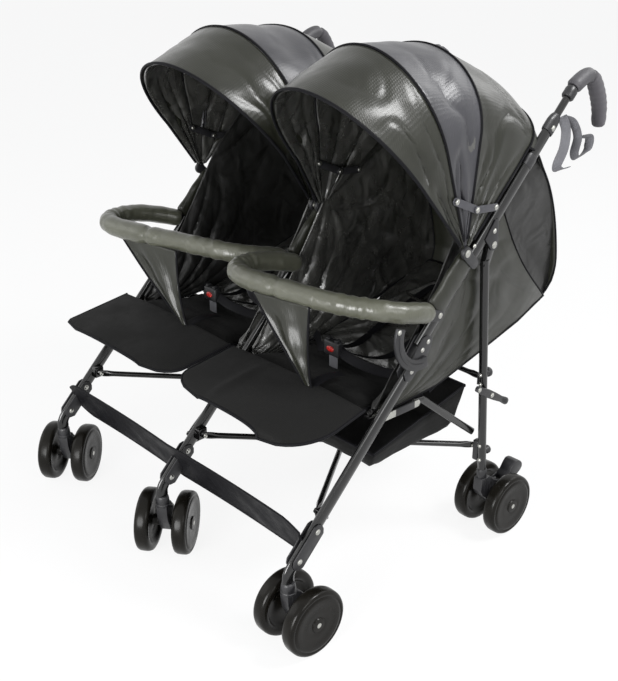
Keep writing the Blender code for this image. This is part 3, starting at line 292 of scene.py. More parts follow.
def block(mesh, low, high, edge=0.0015):
    """A box between two corners with rounded edges."""
    low, high = at(*low), at(*high)
    size = [abs(value) for value in high - low]
    made = bmesh.ops.create_cube(mesh, size=1, matrix=Matrix.Translation((low + high) / 2)
                                 @ Matrix.Diagonal((*size, 1)))
    rims = {item for vertex in made["verts"] for item in vertex.link_edges}
    bmesh.ops.bevel(mesh, geom=list(rims), offset=min(edge, min(size) * 0.4), offset_type="OFFSET",
                    segments=3, profile=0.5, affect="EDGES", material=-1)


def rivet(mesh, point, axis, radius=0.0042):
    """A domed rivet head on a thin washer."""
    spun(mesh, [(-0.0006, radius * 1.25), (0.0004, radius * 1.25), (0.0006, radius * 1.02),
                (0.0012, radius), (0.0021, radius * 0.78), (0.0027, radius * 0.40),
                (0.0028, 0.0)], point, axis, 20)


def loose(name, mesh, material, crease=180):
    """Makes a bmesh an object: normals, smooth faces, edges sharp from an angle, material."""
    bmesh.ops.recalc_face_normals(mesh, faces=mesh.faces)
    for face in mesh.faces:
        face.smooth = True
    for edge in mesh.edges:
        edge.smooth = crease == 180 or edge.calc_face_angle(0.0) < radians(crease)
    data = bpy.data.meshes.new(name)
    mesh.to_mesh(data)
    mesh.free()
    data.materials.append(material)
    piece = bpy.data.objects.new(name, data)
    bpy.context.scene.collection.objects.link(piece)
    return piece


def narrows(piece):
    """Gives a piece its own copy of its mesh."""
    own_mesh(piece)


def finished(name, mesh, material, body, replaced=(), skin=0.0, fold=False, crease=35):
    """Makes a bmesh a piece of a body, with a cloth's thickness, and its own mesh copy where fold
    is asked.
    """
    piece = loose(name, mesh, material, crease)
    if skin:
        solid = piece.modifiers.new("Skin", "SOLIDIFY")
        solid.thickness = skin
        solid.offset = 0.0
    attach(piece, body)
    if replaced:
        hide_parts(*replaced)
    if fold:
        narrows(piece)
    return piece


for side, x in FRAME_X.items():
    body = side + "_frame"
    mesh = bmesh.new()
    foot = [at(x, 0, 0.1503), at(x, 0, 0.158), at(x, 0.001, 0.1655), at(x, 0.0055, 0.174)]
    run = [at(x, y, y + 0.170) for y in (0.014, 0.05, 0.12, 0.20, 0.28, 0.322)]
    sweep(mesh, foot + run, lambda share: OVAL, 32)
    finished("front_leg_tube_" + side, mesh, gloss_paint, body, ["front_leg_" + side])
    mesh = bmesh.new()
    screws = bmesh.new()
    for way in INWARD[side]:
        z = 0.258 + way * STAGGER
        block(mesh, (x + way * 0.0063, 0.086, z - 0.013),
              (x + way * 0.0213, 0.110, z + 0.013), 0.003)
        rivet(screws, at(x + way * 0.0313, 0.098, z), (way, 0, 0), 0.0045)
    finished("cross_bar_block_" + side, mesh, gloss_paint, body)
    finished("cross_bar_rivet_" + side, screws, bright_zinc, body)


# Each pair of front wheels swivels in a ribbed housing, injection moulded in charcoal nylon,
# whose round socket is pressed over the tube's foot.

# Glass-filled nylon: charcoal, a fine spark-eroded grain, a broad dull shine.
charcoal_nylon, nodes = finish_of("charcoal_moulded_nylon", "black_moulding", "#1c1c1e", 0.42,
                                  (55, 0.34, 0.50, "#161618", "#252527"))
grained(*nodes, "TexNoise", {"Scale": 1 / 0.0012, "Detail": 3.0}, 0.22, 0.0003)

# The axles' height, and how far the front ones trail behind their swivels.
AXLE_Z, TRAIL = 0.06914, 0.025


def round_points(centre, radius, start, end, steps):
    """Points of (y, z) on part of a circle, its angles in degrees."""
    return [(centre[0] + radius * cos(radians(start + (end - start) * step / steps)),
             centre[1] + radius * sin(radians(start + (end - start) * step / steps)))
            for step in range(steps + 1)]


for side, x in FRAME_X.items():
    mesh = bmesh.new()
    outline = [(-0.0120, 0.128), (0.0140, 0.128), (0.0215, 0.1245), (0.0280, 0.1160),
               (0.0360, 0.1080), (0.0440, AXLE_Z + 0.0300)]
    outline += round_points((TRAIL, AXLE_Z), 0.0190, 5, -150, 12)
    outline += [(-0.0020, AXLE_Z + 0.0100), (-0.0075, AXLE_Z + 0.0230), (-0.0100, AXLE_Z + 0.0360)]
    plate(mesh, outline, x - 0.0116, x + 0.0116, 0.0022)
    for way in (-1, 1):
        for rib in range(5):
            y = 0.001 + rib * 0.0078
            block(mesh, (x + way * 0.0112, y - 0.0011, AXLE_Z + 0.024 - abs(rib - 2) * 0.004),
                  (x + way * 0.0122, y + 0.0011, 0.1215 - rib * 0.0042), 0.0003)
    spun(mesh, [(0.1235, 0.0), (0.1235, 0.0135), (0.1250, 0.0150), (0.1300, 0.0152),
                (0.1312, 0.0143), (0.1335, 0.0143), (0.1347, 0.0149), (0.1450, 0.0138),
                (0.1485, 0.0128), (0.1500, 0.0112), (0.1502, 0.0085)], at(x, 0, 0), (0, 0, 1), 40)
    bmesh.ops.rotate(mesh, verts=mesh.verts, cent=at(x, 0, 0),
                     matrix=Matrix.Rotation(SWIVEL[side], 3, "Z"))
    finished("wheel_housing_" + side, mesh, charcoal_nylon, "caster_" + side, ["caster_" + side])


# Twelve hard wheels, in pairs on steel axles: moulded PVC tyre and disc in one colour, with a
# domed outer face, a shallow groove inside the tread and a round hub boss.

# Polished PVC: black with a brown cast, almost a mirror on the rim, dulled where it rolls.
wheel_pvc, nodes = finish_of("polished_black_pvc", "glossy_wheel", "#0f0e0b", 0.3,
                             (24, 0.22, 0.40, "#0b0a08", "#15130f"), Coat_Weight=0.05,
                             Coat_Roughness=0.1, Specular_IOR_Level=0.14)
grained(*nodes, "TexNoise", {"Scale": 1 / 0.003, "Detail": 5.0}, 0.12, 0.0003)

REAR_AXLE_Y = 0.612
HALF_SPREAD = 0.041
WHEEL_FACE = [(-0.0284, 0.0), (-0.0284, 0.0118), (-0.0115, 0.0118), (-0.0100, 0.0135),
              (-0.0072, 0.0300), (-0.0062, 0.0440), (-0.0110, 0.0490), (-0.0152, 0.0520),
              (-0.0160, 0.0570), (-0.0156, 0.0625), (-0.0132, 0.0668), (-0.0088, 0.0687),
              (-0.0040, 0.0691), (0.0040, 0.0691), (0.0090, 0.0687), (0.0126, 0.0669),
              (0.0147, 0.0638), (0.0152, 0.0606), (0.0143, 0.0594), (0.0140, 0.0584),
              (0.0146, 0.0574), (0.0158, 0.0560), (0.0163, 0.0520), (0.0150, 0.0430),
              (0.0144, 0.0300), (0.0150, 0.0170), (0.0146, 0.0155), (0.0168, 0.0140),
              (0.0172, 0.0080), (0.0173, 0.0)]

for side, x in FRAME_X.items():
    turn = SWIVEL[side]
    for row, centre, angle in (
            ("front", (x - TRAIL * sin(turn), TRAIL * cos(turn), AXLE_Z), turn),
            ("rear", (x, REAR_AXLE_Y, AXLE_Z), 0.0)):
        axle = Vector((cos(angle), sin(angle), 0))
        mesh = bmesh.new()
        for way in (-1, 1):
            spun(mesh, WHEEL_FACE, at(*centre) + axle * way * HALF_SPREAD, axle * way, 72)
        name = f"{row}_wheels_{side}"
        finished(name + "_pair", mesh, wheel_pvc, name, [name], crease=50)
        mesh = bmesh.new()
        for way in (-1, 1):
            spun(mesh, [(0.0574, 0.0052), (0.0586, 0.0052), (0.0592, 0.0040), (0.0594, 0.0)],
                 at(*centre), axle * way, 24)
        finished(name + "_axle_caps", mesh, bright_zinc, name)


# A band of heavy polyester webbing cloth across all three frames, hemmed along both edges and
# riveted to moulded saddles that wrap the front legs.

# Heavy polyester: nearly black, matt, a coarse plain weave (drawn at 2.4 mm so that it shows).
band_cloth, nodes = finish_of("black_polyester_webbing", "matte_webbing", "#0a0a0b", 0.6,
                              (30, 0.42, 0.62, "#0f0f11", "#1b1b1d"), coordinates="UV",
                              Specular_IOR_Level=0.05)


def woven(tree, shader, place, thread, depth, creases=None):
    """Bumps a plain weave of a thread spacing, over soft creases of a size and depth."""
    scale = tau / (20 * thread * 2)
    across = add_node(tree, "TexWave", {"wave_type": "BANDS", "bands_direction": "X",
                                        "Scale": scale}, {"Vector": place})
    along = add_node(tree, "TexWave", {"wave_type": "BANDS", "bands_direction": "Y",
                                       "Scale": scale}, {"Vector": place})
    cloth = add_node(tree, "Math", {"operation": "MULTIPLY"})
    tree.links.new(across.outputs["Fac"], cloth.inputs[0])
    tree.links.new(along.outputs["Fac"], cloth.inputs[1])
    weave = add_node(tree, "Bump", {"Strength": 0.5, "Distance": depth},
                     {"Height": cloth.outputs[0]})
    if creases:
        size, drop = creases
        soft = add_node(tree, "TexNoise", {"Scale": 1 / size, "Detail": 1.2, "Distortion": 0.6},
                        {"Vector": place})
        folds = add_node(tree, "Bump", {"Strength": 0.7, "Distance": drop},
                         {"Height": soft.outputs["Fac"], "Normal": weave.outputs[0]})
        tree.links.new(folds.outputs[0], shader.inputs["Normal"])
    else:
        tree.links.new(weave.outputs[0], shader.inputs["Normal"])


woven(*nodes, 0.0024, 0.0005)


def cloth_mesh(columns, rows, width, length, place, relief=None):
    """A sheet of cloth: place(u, v) gives its points, relief(u, v) lifts them off the sheet."""
    mesh = bmesh.new()
    mesh.loops.layers.uv.new("UVMap")
    bmesh.ops.create_grid(mesh, x_segments=columns, y_segments=rows, size=0.5, calc_uvs=True)
    layer = mesh.loops.layers.uv.active
    shares = {}
    for vertex in mesh.verts:
        shares[vertex] = (vertex.co.x + 0.5, vertex.co.y + 0.5)
    for face in mesh.faces:
        for loop in face.loops:
            u, v = shares[loop.vert]
            loop[layer].uv = (u * width, v * length)
    for vertex in mesh.verts:
        vertex.co = place(*shares[vertex])
    if relief:
        mesh.normal_update()
        for vertex, normal in [(vertex, vertex.normal.copy()) for vertex in mesh.verts]:
            vertex.co += normal * relief(*shares[vertex])
    return mesh


def strip(mesh, route, width, thick, across=(1, 0, 0), sides=12):
    """A flat strap along a route, its edges rounded."""
    sweep(mesh, route, lambda share: (width / 2, thick / 2), sides, across)


def edging(mesh, steps, line, width, thick, across=(1, 0, 0), sides=10):
    """A strap along a line, which gives the point at each share of its length."""
    strip(mesh, [line(step / steps) for step in range(steps + 1)], width, thick, across, sides)


LEAN = Vector((0, -sin(radians(23)), cos(radians(23))))


def band_point(share_x, height):
    """A point on the footrest band: x from -1 to 1 over all frames, height from its middle."""
    x = share_x * 0.3995
    inside = 1 - abs(2 * (abs(share_x) - 0.5)) ** 2
    taper = 1 - 0.45 * min(1.0, max(0.0, (abs(share_x) - 0.90) / 0.10)) ** 1.5
    return at(x, 0.040 + 0.0045 * inside, 0.218) + LEAN * height * taper


mesh = cloth_mesh(120, 14, 0.80, 0.100,
                  lambda u, v: band_point(2 * u - 1, (v - 0.5) * 0.100),
                  lambda u, v: 0.0012 * sin(u * 31 + 3 * v) * sin(pi * v)
                  + 0.0008 * noise.noise(Vector((u * 24, v * 3, 0.3))))
band = finished("footrest_band", mesh, band_cloth, "centre_frame", ["footrest"], skin=0.0022,
                fold=True)
mesh = bmesh.new()
for edge_height in (-0.0475, 0.0475):
    edging(mesh, 60, lambda t: band_point(2 * t - 1, edge_height), 0.0090, 0.0042, LEAN)
hem = finished("footrest_hems", mesh, band_cloth, "centre_frame", fold=True)

for side, x in FRAME_X.items():
    mesh = bmesh.new()
    screws = bmesh.new()
    along, square = Vector((0.7071, 0.7071)), Vector((-0.7071, 0.7071))
    middle = Vector((0.048, 0.218))
    ear = [middle + along * a + square * b for a, b in (
        (-0.046, -0.0172), (0.028, -0.0172), (0.036, -0.010), (0.040, 0.0), (0.036, 0.009),
        (0.028, 0.0142), (-0.046, 0.0142), (-0.055, 0.008), (-0.058, 0.0), (-0.055, -0.009))]
    web = [middle + along * a + square * b
           for a, b in ((-0.040, -0.0172), (0.026, -0.0172), (0.026, -0.0144), (-0.040, -0.0144))]
    for way in (-1, 1):
        plate(mesh, [tuple(point) for point in ear], x + way * 0.0078, x + way * 0.0108, 0.0010)
        for a in (-0.040, 0.024):
            point = middle + along * a
            rivet(screws, at(x + way * 0.0108, point.x, point.y), (way, 0, 0), 0.0048)
    plate(mesh, [tuple(point) for point in web], x - 0.0085, x + 0.0085, 0.0006)
    finished("footrest_saddle_" + side, mesh, charcoal_nylon, side + "_frame")
    finished("footrest_rivets_" + side, screws, bright_zinc, side + "_frame")


# Where lower and upper tube meet, two moulded cheeks clamp both ends, and a curved arm beside
# them carries the padded bar. Four rivets go through the tubes.

# The cheeks' middle and the middle of the arm's curve, at y and z.
CHEEK_Y, CHEEK_Z = 0.330, 0.5106
ARM_CENTRE = (0.330, 0.562)

for side, x in FRAME_X.items():
    mesh = bmesh.new()
    screws = bmesh.new()
    outline = []
    for along, off in ((-0.056, -0.004), (-0.050, -0.014), (-0.030, -0.0165), (-0.010, -0.0195),
                       (0.012, -0.0185), (0.030, -0.0140), (0.041, -0.007), (0.044, 0.0),
                       (0.041, 0.012), (0.030, 0.0200), (0.010, 0.0185), (-0.012, 0.0155),
                       (-0.030, 0.0140), (-0.048, 0.0120)):
        outline.append((CHEEK_Y + (along - off) / sqrt(2), CHEEK_Z + (along + off) / sqrt(2)))
    for way in (-1, 1):
        plate(mesh, outline, x + way * 0.0078, x + way * 0.0110, 0.0011)
        for along, off in ((-0.034, -0.002), (-0.012, 0.001), (0.012, 0.004), (0.032, 0.002)):
            rivet(screws, at(x + way * 0.0110, CHEEK_Y + (along - off) / sqrt(2),
                             CHEEK_Z + (along + off) / sqrt(2)), (way, 0, 0), 0.0040)
    outer_way = 1 if side == "right" else -1
    arm = round_points(ARM_CENTRE, 0.0775, 158, 284, 26)
    arm += round_points(ARM_CENTRE, 0.0545, 284, 158, 26)
    plate(mesh, arm, x + outer_way * 0.0105, x + outer_way * 0.0175, 0.0024)
    ridge = round_points(ARM_CENTRE, 0.0690, 164, 272, 22)
    ridge += round_points(ARM_CENTRE, 0.0630, 272, 164, 22)
    plate(mesh, ridge, x + outer_way * 0.0170, x + outer_way * 0.0188, 0.0007)
    rivet(screws, at(x + outer_way * 0.0175, 0.262, 0.582), (outer_way, 0, 0), 0.0042)
    finished("tube_joint_" + side, mesh, charcoal_nylon, side + "_frame", ["side_joint_" + side])
    finished("tube_joint_rivets_" + side, screws, bright_zinc, side + "_frame")


# The upper oval tubes, gloss black, each ending in a moulded collar from which a slim round
# stem runs up to the grip. A zinc clamp screw holds the stem, two riveted ears the rear leg.

# Where a rear leg hangs on its tube, at y and z.
REAR_PIVOT = (0.535, 0.685)

# Dark grey acetal of the hoods' braces: smooth, slightly waxy.
grey_acetal, nodes = finish_of("dark_grey_acetal", "black_moulding", "#3a3a3e", 0.38,
                               (70, 0.30, 0.46, "#323236", "#444449"))

for side, x in FRAME_X.items():
    mesh = bmesh.new()
    sweep(mesh, [at(x, y, y + 0.19121) for y in (0.335, 0.42, 0.52, 0.62, 0.705)],
          lambda share: OVAL, 32)
    sweep(mesh, [at(x, 0.700 + step, 0.89121 + step) for step in (0, 0.03, 0.0665)],
          lambda share: (0.0072, 0.0085), 24)
    finished("push_tube_body_" + side, mesh, gloss_paint, side + "_frame", ["push_tube_" + side])
    mesh = bmesh.new()
    sweep(mesh, [at(x, 0.689 + step, 0.88021 + step) for step in (0, 0.003, 0.016, 0.024, 0.029)],
          lambda share: ((0.0094, 0.0160) if share < 0.2 else (0.0102, 0.0168) if share < 0.7
                         else (0.0098, 0.0140) if share < 0.9 else (0.0084, 0.0100)), 32)
    sweep(mesh, [at(x, 0.748 + step, 0.93921 + step) for step in (0, 0.002, 0.013, 0.0165)],
          lambda share: (0.0128, 0.0136) if 0.2 < share < 0.9 else (0.0112, 0.0120), 28)
    sweep(mesh, [at(x, 0.630 + step, 0.82121 + step) for step in (0, 0.002, 0.017, 0.019)],
          lambda share: (0.0088, 0.0154) if 0.2 < share < 0.9 else (0.0078, 0.0143), 32)
    for way in (-1, 1):
        ear = round_points(REAR_PIVOT, 0.0120, -150, 0, 14)
        ear += [(0.5430, 0.7372), (0.5330, 0.7362), (0.5070, 0.7012)]
        plate(mesh, ear, x + way * 0.0075, x + way * 0.0106, 0.0009)
    finished("push_tube_mouldings_" + side, mesh, charcoal_nylon, side + "_frame")
    mesh = bmesh.new()
    for way in (-1, 1):
        rivet(mesh, at(x + way * 0.0106, *REAR_PIVOT), (way, 0, 0), 0.0060)
        rivet(mesh, at(x + way * 0.0106, 0.533, 0.714), (way, 0, 0), 0.0042)
        rivet(mesh, at(x + way * 0.0102, 0.697, 0.8882), (way, 0, 0), 0.0050)
    finished("push_tube_rivets_" + side, mesh, bright_zinc, side + "_frame")


# Closed-cell EVA foam sleeves pushed over the bent stem ends, curved back and down, with a
# moulded grey neck round the stem's bend.

# EVA foam: dark grey, matt, with the fine open skin of cut foam (cells drawn at 1.6 mm).
grip_foam, nodes = finish_of("grey_eva_foam", "foam_grip", "#3f3d41", 0.88,
                             (45, 0.80, 0.94, "#38363a", "#4b494d"), Sheen_Weight=0.15,
                             Sheen_Roughness=0.6)
grained(*nodes, "TexVoronoi", {"Scale": 1 / 0.0016}, 0.45, 0.0005)


# The neck's polypropylene: dark grey, a touch lighter than the foam, satin.
grey_moulding, nodes = finish_of("grey_polypropylene", "black_moulding", "#3e3d40", 0.5,
                                 (60, 0.42, 0.58, "#343336", "#4a494c"))


def grip_route(x):
    """The middle line of a foam grip, from the stem's end over and down to its tip."""
    line = []
    for index in range(8):
        t = index / 7
        line.append(at(x, 0.76752 + 0.105 * sin(t * pi / 2) ** 0.90,
                       0.95874 + 0.020 * sin(pi * min(t * 1.6, 1.0)) - 0.095 * t ** 2.6))
    return curve(line, 6)


def grip_size(share):
    """The foam's half widths: fullest in the palm, ribbed for the fingers, rounded at its tip."""
    end = max(0.0, 1 - share / 0.06) ** 2 + 1.5 * max(0.0, (share - 0.93) / 0.07) ** 2
    size = 0.0142 + 0.0024 * sin(pi * share ** 0.8) - 0.0034 * end + 0.0005 * sin(share * 52)
    return size, size


for side, x in FRAME_X.items():
    route = grip_route(x)
    mesh = bmesh.new()
    sweep(mesh, route[14:], grip_size, 32)
    finished("foam_grip_" + side, mesh, grip_foam, side + "_frame", ["grip_" + side], crease=60)
    mesh = bmesh.new()
    neck = [at(x, 0.7660, 0.9572)] + route[1:17]
    sweep(mesh, neck, lambda share: ((0.0124, 0.0124) if share < 0.05 else (0.0158, 0.0158)
                                     if share < 0.8 else (0.0126, 0.0126)), 32)
    finished("grip_neck_" + side, mesh, grey_moulding, side + "_frame")


# A wrist loop of grey polyester webbing hangs from the right stem's screw, doubled over it
# and curled by its own stiffness.

strap_line = curve([at(0.4105, 0.722, 0.908), at(0.414, 0.735, 0.880), at(0.418, 0.728, 0.845),
                    at(0.414, 0.716, 0.812), at(0.412, 0.727, 0.800), at(0.416, 0.752, 0.801)], 9)
loop_line = curve([at(0.4105, 0.724, 0.906), at(0.416, 0.752, 0.894), at(0.420, 0.770, 0.862),
                   at(0.412, 0.776, 0.826), at(0.410, 0.792, 0.812), at(0.418, 0.812, 0.830),
                   at(0.424, 0.806, 0.856), at(0.418, 0.786, 0.858)], 9)

# Polyester webbing of straps: mid grey, ribbed along its length (drawn at 1.8 mm).
grey_webbing, nodes = finish_of("grey_polyester_webbing", "matte_webbing", "#3d3d41", 0.7,
                                (60, 0.62, 0.80, "#4a4a4e", "#68686c"), Sheen_Weight=0.1)
woven(*nodes, 0.0018, 0.0005)
mesh = bmesh.new()
strip(mesh, strap_line, 0.0200, 0.0020, (0.55, 0.75, 0.25), 12)
strip(mesh, loop_line, 0.0180, 0.0020, (0.75, 0.15, 0.60), 12)
finished("wrist_strap", mesh, grey_webbing, "right_frame", crease=60)


# Round gloss-black steel tubes, flattened at the pivot, with moulded knobs where the braces
# and cross bars end, and a moulded foot that carries the axle and the brake.


def leg_y(z):
    """The rear leg's y at a height: it leans back towards its foot."""
    return 0.519 + 0.049 * (0.685 - z) / (0.685 - AXLE_Z - 0.064)


for side, x in FRAME_X.items():
    body = "rear_leg_" + side
    mesh = bmesh.new()
    sweep(mesh, [at(x, leg_y(z), z) for z in (0.133, 0.25, 0.40, 0.655)],
          lambda share: (0.0090, 0.0090), 32)
    tongue = round_points(REAR_PIVOT, 0.0110, -20, 160, 14)
    tongue += [(leg_y(0.655) - 0.0080, 0.643), (leg_y(0.655) + 0.0080, 0.643)]
    plate(mesh, tongue, x - 0.0065, x + 0.0065, 0.0012)
    finished("rear_leg_tube_" + side, mesh, gloss_paint, body, [body])
    mesh = bmesh.new()
    screws = bmesh.new()
    foot = [(0.5555, 0.1391), (0.5540, 0.1091), (0.5610, 0.0960), (0.5740, 0.0840),
            (0.5900, 0.0700)]
    foot += round_points((REAR_AXLE_Y, AXLE_Z), 0.0180, 205, 360, 16)
    foot += [(0.6300, 0.0850), (0.6300, 0.1020), (0.6220, 0.1110), (0.5980, 0.1230),
             (0.5820, 0.1391)]
    plate(mesh, foot, x - 0.0116, x + 0.0116, 0.0022)
    sweep(mesh, [at(x, leg_y(z), z) for z in (0.136, 0.139, 0.158, 0.161)],
          lambda share: (0.0112, 0.0112) if 0.2 < share < 0.8 else (0.0096, 0.0096), 28)
    for way in (-1, 1):
        for rib in range(4):
            block(mesh, (x + way * 0.0112, 0.566 + rib * 0.009, 0.112 - rib * 0.008),
                  (x + way * 0.0121, 0.568 + rib * 0.009, 0.134 - rib * 0.004), 0.0003)
    for way in INWARD[side]:
        for z, reach, half in ((0.385, 0.0107, 0.0140), (0.204, 0.0212, 0.0240)):
            block(mesh, (x + way * 0.0072, leg_y(z) - 0.0070, z - half),
                  (x + way * reach, leg_y(z) + 0.0070, z + half), 0.0025)
        for z in (0.375, 0.397, 0.186, 0.222):
            rivet(screws, at(x, leg_y(z) - 0.0092, z), (0, -1, 0), 0.0036)
    for z, radius in ((0.397, 0.0105), (0.204, 0.0095)):
        spun(mesh, [(0.0, 0.0), (0.0, radius * 0.70), (0.0050, radius * 0.74),
                    (0.0080, radius * 0.98), (0.0130, radius), (0.0155, radius * 0.86),
                    (0.0160, radius * 0.55), (0.0150, radius * 0.50), (0.0150, 0.0)],
             at(x, leg_y(z) + 0.0050, z), (0, 1, 0), 28)
    finished("rear_leg_mouldings_" + side, mesh, charcoal_nylon, body)
    finished("rear_leg_rivets_" + side, screws, bright_zinc, body)


# A foot pedal on each rear leg brakes its wheels: a charcoal nylon paddle, moulded in one
# piece with two arms that straddle the wheels' housing on a riveted pin.

BRAKE_PIVOT = (0.622, 0.103)

for side, x in FRAME_X.items():
    mesh = bmesh.new()
    paddle = [(0.016, -0.003), (0.040, -0.0012), (0.058, 0.002), (0.068, 0.0075), (0.075, 0.016),
              (0.0735, 0.025), (0.068, 0.032), (0.0585, 0.0375), (0.048, 0.039), (0.038, 0.0300),
              (0.030, 0.018), (0.016, 0.010)]
    plate(mesh, [(BRAKE_PIVOT[0] + dy, BRAKE_PIVOT[1] + dz) for dy, dz in paddle],
          x - 0.0153, x + 0.0153, 0.0030)
    arm = round_points(BRAKE_PIVOT, 0.0070, 90, 270, 12) + [(0.644, 0.1015), (0.644, 0.1145)]
    screws = bmesh.new()
    for way in (-1, 1):
        plate(mesh, arm, x + way * 0.0123, x + way * 0.0153, 0.0008)
        rivet(screws, at(x + way * 0.0153, *BRAKE_PIVOT), (way, 0, 0), 0.0040)
    finished("brake_pedal_" + side, mesh, charcoal_nylon, "brake_" + side, ["brake_" + side])
    finished("brake_rivets_" + side, screws, bright_zinc, "brake_" + side)


# The long foot lever that frees the fold: ribbed charcoal nylon, moulded in one piece and
# riveted to the outer side of the right rear leg.

LEVER_PIVOT, LEVER_LENGTH = Vector((0.560, 0.348)), 0.140

mesh = bmesh.new()
screws = bmesh.new()
slope, square = Vector((0.848, -0.530)), Vector((0.530, 0.848))
flank = [(-0.42, 0.0060), (-0.25, 0.0078), (-0.10, 0.0092), (0.10, 0.0085), (0.30, 0.0066),
         (0.44, 0.0082), (0.49, 0.0050)]
outline = [LEVER_PIVOT + slope * (along * LEVER_LENGTH) + square * off for along, off in
           [(along, -off) for along, off in flank] + [(0.50, 0.0)] + flank[::-1] + [(-0.435, 0.0)]]
plate(mesh, [tuple(point) for point in outline], 0.4094, 0.4163, 0.0018)
for along in (-0.37, 0.0):
    point = LEVER_PIVOT + slope * (along * LEVER_LENGTH)
    rivet(screws, at(0.4163, *point), (1, 0, 0), 0.0044)
for rib in range(5):
    point = LEVER_PIVOT + slope * ((0.33 + rib * 0.028) * LEVER_LENGTH)
    block(mesh, (0.4158, point.x - 0.0008, point.y - 0.0055),
          (0.4168, point.x + 0.0008, point.y + 0.0055), 0.0003)
finished("fold_pedal", mesh, charcoal_nylon, "fold_lever", ["fold_lever"])
finished("fold_pedal_rivets", screws, bright_zinc, "fold_lever")


# A folding link holds each rear leg out: a flat zinc-plated bar from the front leg and a black
# oval tube with a bent, flattened end, joined by a rivet at the elbow.

LINK_FRONT, LINK_ELBOW, LINK_REAR = (0.235, 0.394), (0.355, 0.392), (0.542, 0.256)

for side, x in FRAME_X.items():
    way = -1 if side == "right" else 1
    mesh = bmesh.new()
    outline = round_points(LINK_FRONT, 0.0075, 90, 270, 14)
    outline += round_points(LINK_ELBOW, 0.0075, -90, 90, 14)
    plate(mesh, outline, x + way * 0.0111, x + way * 0.0141, 0.0007)
    finished("side_link_bar_" + side, mesh, bright_zinc, "front_link_" + side,
             ["side_link_front_" + side])
    mesh = bmesh.new()
    cover = [(0.292, 0.4012), (0.292, 0.3852), (0.346, 0.3842), (0.346, 0.4002)]
    plate(mesh, cover, x + way * 0.0105, x + way * 0.0146, 0.0010)
    finished("side_link_stop_" + side, mesh, charcoal_nylon, "front_link_" + side)
    mesh = bmesh.new()
    middle = x + way * 0.0179
    route = [(0.349, 0.392), (0.355, 0.392), (0.372, 0.390), (0.383, 0.385), (0.46, 0.322),
             (0.546, 0.2527)]
    sweep(mesh, curve([at(middle, y, z) for y, z in route], 5),
          lambda share: (0.0035, 0.0075) if share > 0.06 else (0.0026, 0.0066), 24)
    finished("side_link_tube_" + side, mesh, gloss_paint, "rear_link_" + side,
             ["side_link_rear_" + side])
    mesh = bmesh.new()
    for pivot in (LINK_ELBOW, LINK_REAR):
        rivet(mesh, at(x + way * 0.0214, *pivot), (way, 0, 0), 0.0048)
    finished("side_link_rivets_" + side, mesh, bright_zinc, "rear_link_" + side)


# Two crossed black steel tubes under each seat run from a front leg to the next frame's rear
# leg. Their ends are pressed flat for the pivots, and a rivet joins each pair at its middle.

BARS = (("left_outer", "left", 1), ("left_inner", "centre", -1), ("right_inner", "centre", 1),
        ("right_outer", "right", -1))

for name, side, way in BARS:
    x = FRAME_X[side]
    front = at(x + way * 0.028, 0.098, 0.258 + way * STAGGER)
    rear = at(x + way * 0.372, leg_y(0.204), 0.200 + way * STAGGER)
    run = (rear - front).normalized()
    across = run.cross(Vector((0, 0, 1))).normalized()
    length = (rear - front).length
    stations = (-0.008, -0.0075, -0.004, 0.006, 0.014, 0.022, 0.030, length * 0.5,
                length - 0.030, length - 0.022, length - 0.014, length - 0.006, length + 0.003,
                length + 0.0055, length + 0.006)
    pressed = ((0.0012, 0.0030), (0.0028, 0.0055), (0.0030, 0.0068), (0.0032, 0.0080),
               (0.0040, 0.0080), (0.0054, 0.0070), (0.0062, 0.0064))
    sizes = pressed + pressed[-1:] + pressed[::-1]
    mesh = bmesh.new()
    sweep(mesh, [front + run * distance for distance in stations],
          lambda share: sizes[round(share * 14)], 24, across)
    finished("cross_bar_tube_" + name, mesh, gloss_paint, "cross_bar_" + name,
             ["cross_bar_" + name])
    mesh = bmesh.new()
    rivet(mesh, rear + Vector((way * 0.0031, 0, 0)), (way, 0, 0), 0.0044)
    finished("cross_bar_end_rivet_" + name, mesh, bright_zinc, "cross_bar_" + name)


# A two-part folding brace between neighbouring rear legs, black steel tube with flattened
# ends; the halves lap at the middle, where the fold lever's lock holds them straight.

BRACE_Z, BRACE_LENGTH = 0.385, 0.186

for name, side, way in BARS:
    x = FRAME_X[side]
    y = leg_y(BRACE_Z) - way * 0.006
    mesh = bmesh.new()
    stations = (-0.0060, -0.0050, 0.002, 0.010, 0.018, 0.026, 0.09, BRACE_LENGTH - 0.026,
                BRACE_LENGTH - 0.016, BRACE_LENGTH - 0.006, BRACE_LENGTH - 0.001, BRACE_LENGTH)
    sizes = ((0.0030, 0.0012), (0.0060, 0.0026), (0.0078, 0.0030), (0.0080, 0.0034),
             (0.0066, 0.0046), (0.0055, 0.0055), (0.0055, 0.0055), (0.0055, 0.0055),
             (0.0068, 0.0044), (0.0080, 0.0034), (0.0060, 0.0026), (0.0030, 0.0012))
    sweep(mesh, [at(x + way * (0.020 + distance), y, BRACE_Z) for distance in stations],
          lambda share: sizes[round(share * 11)], 24, (0, 0, 1))
    finished("rear_brace_" + name, mesh, gloss_paint, "lock_link_" + name, ["lock_link_" + name])
    mesh = bmesh.new()
    rivet(mesh, at(x + way * (0.014 + BRACE_LENGTH), y - way * 0.0034, BRACE_Z), (0, -way, 0),
          0.0044)
    finished("rear_brace_rivet_" + name, mesh, bright_zinc, "lock_link_" + name)


# Each bay has a foam-filled cushion in brushed polyester with sewn cross channels, and a
# padded backrest in thickly coated nylon that reclines behind it; webbing binds their edges.

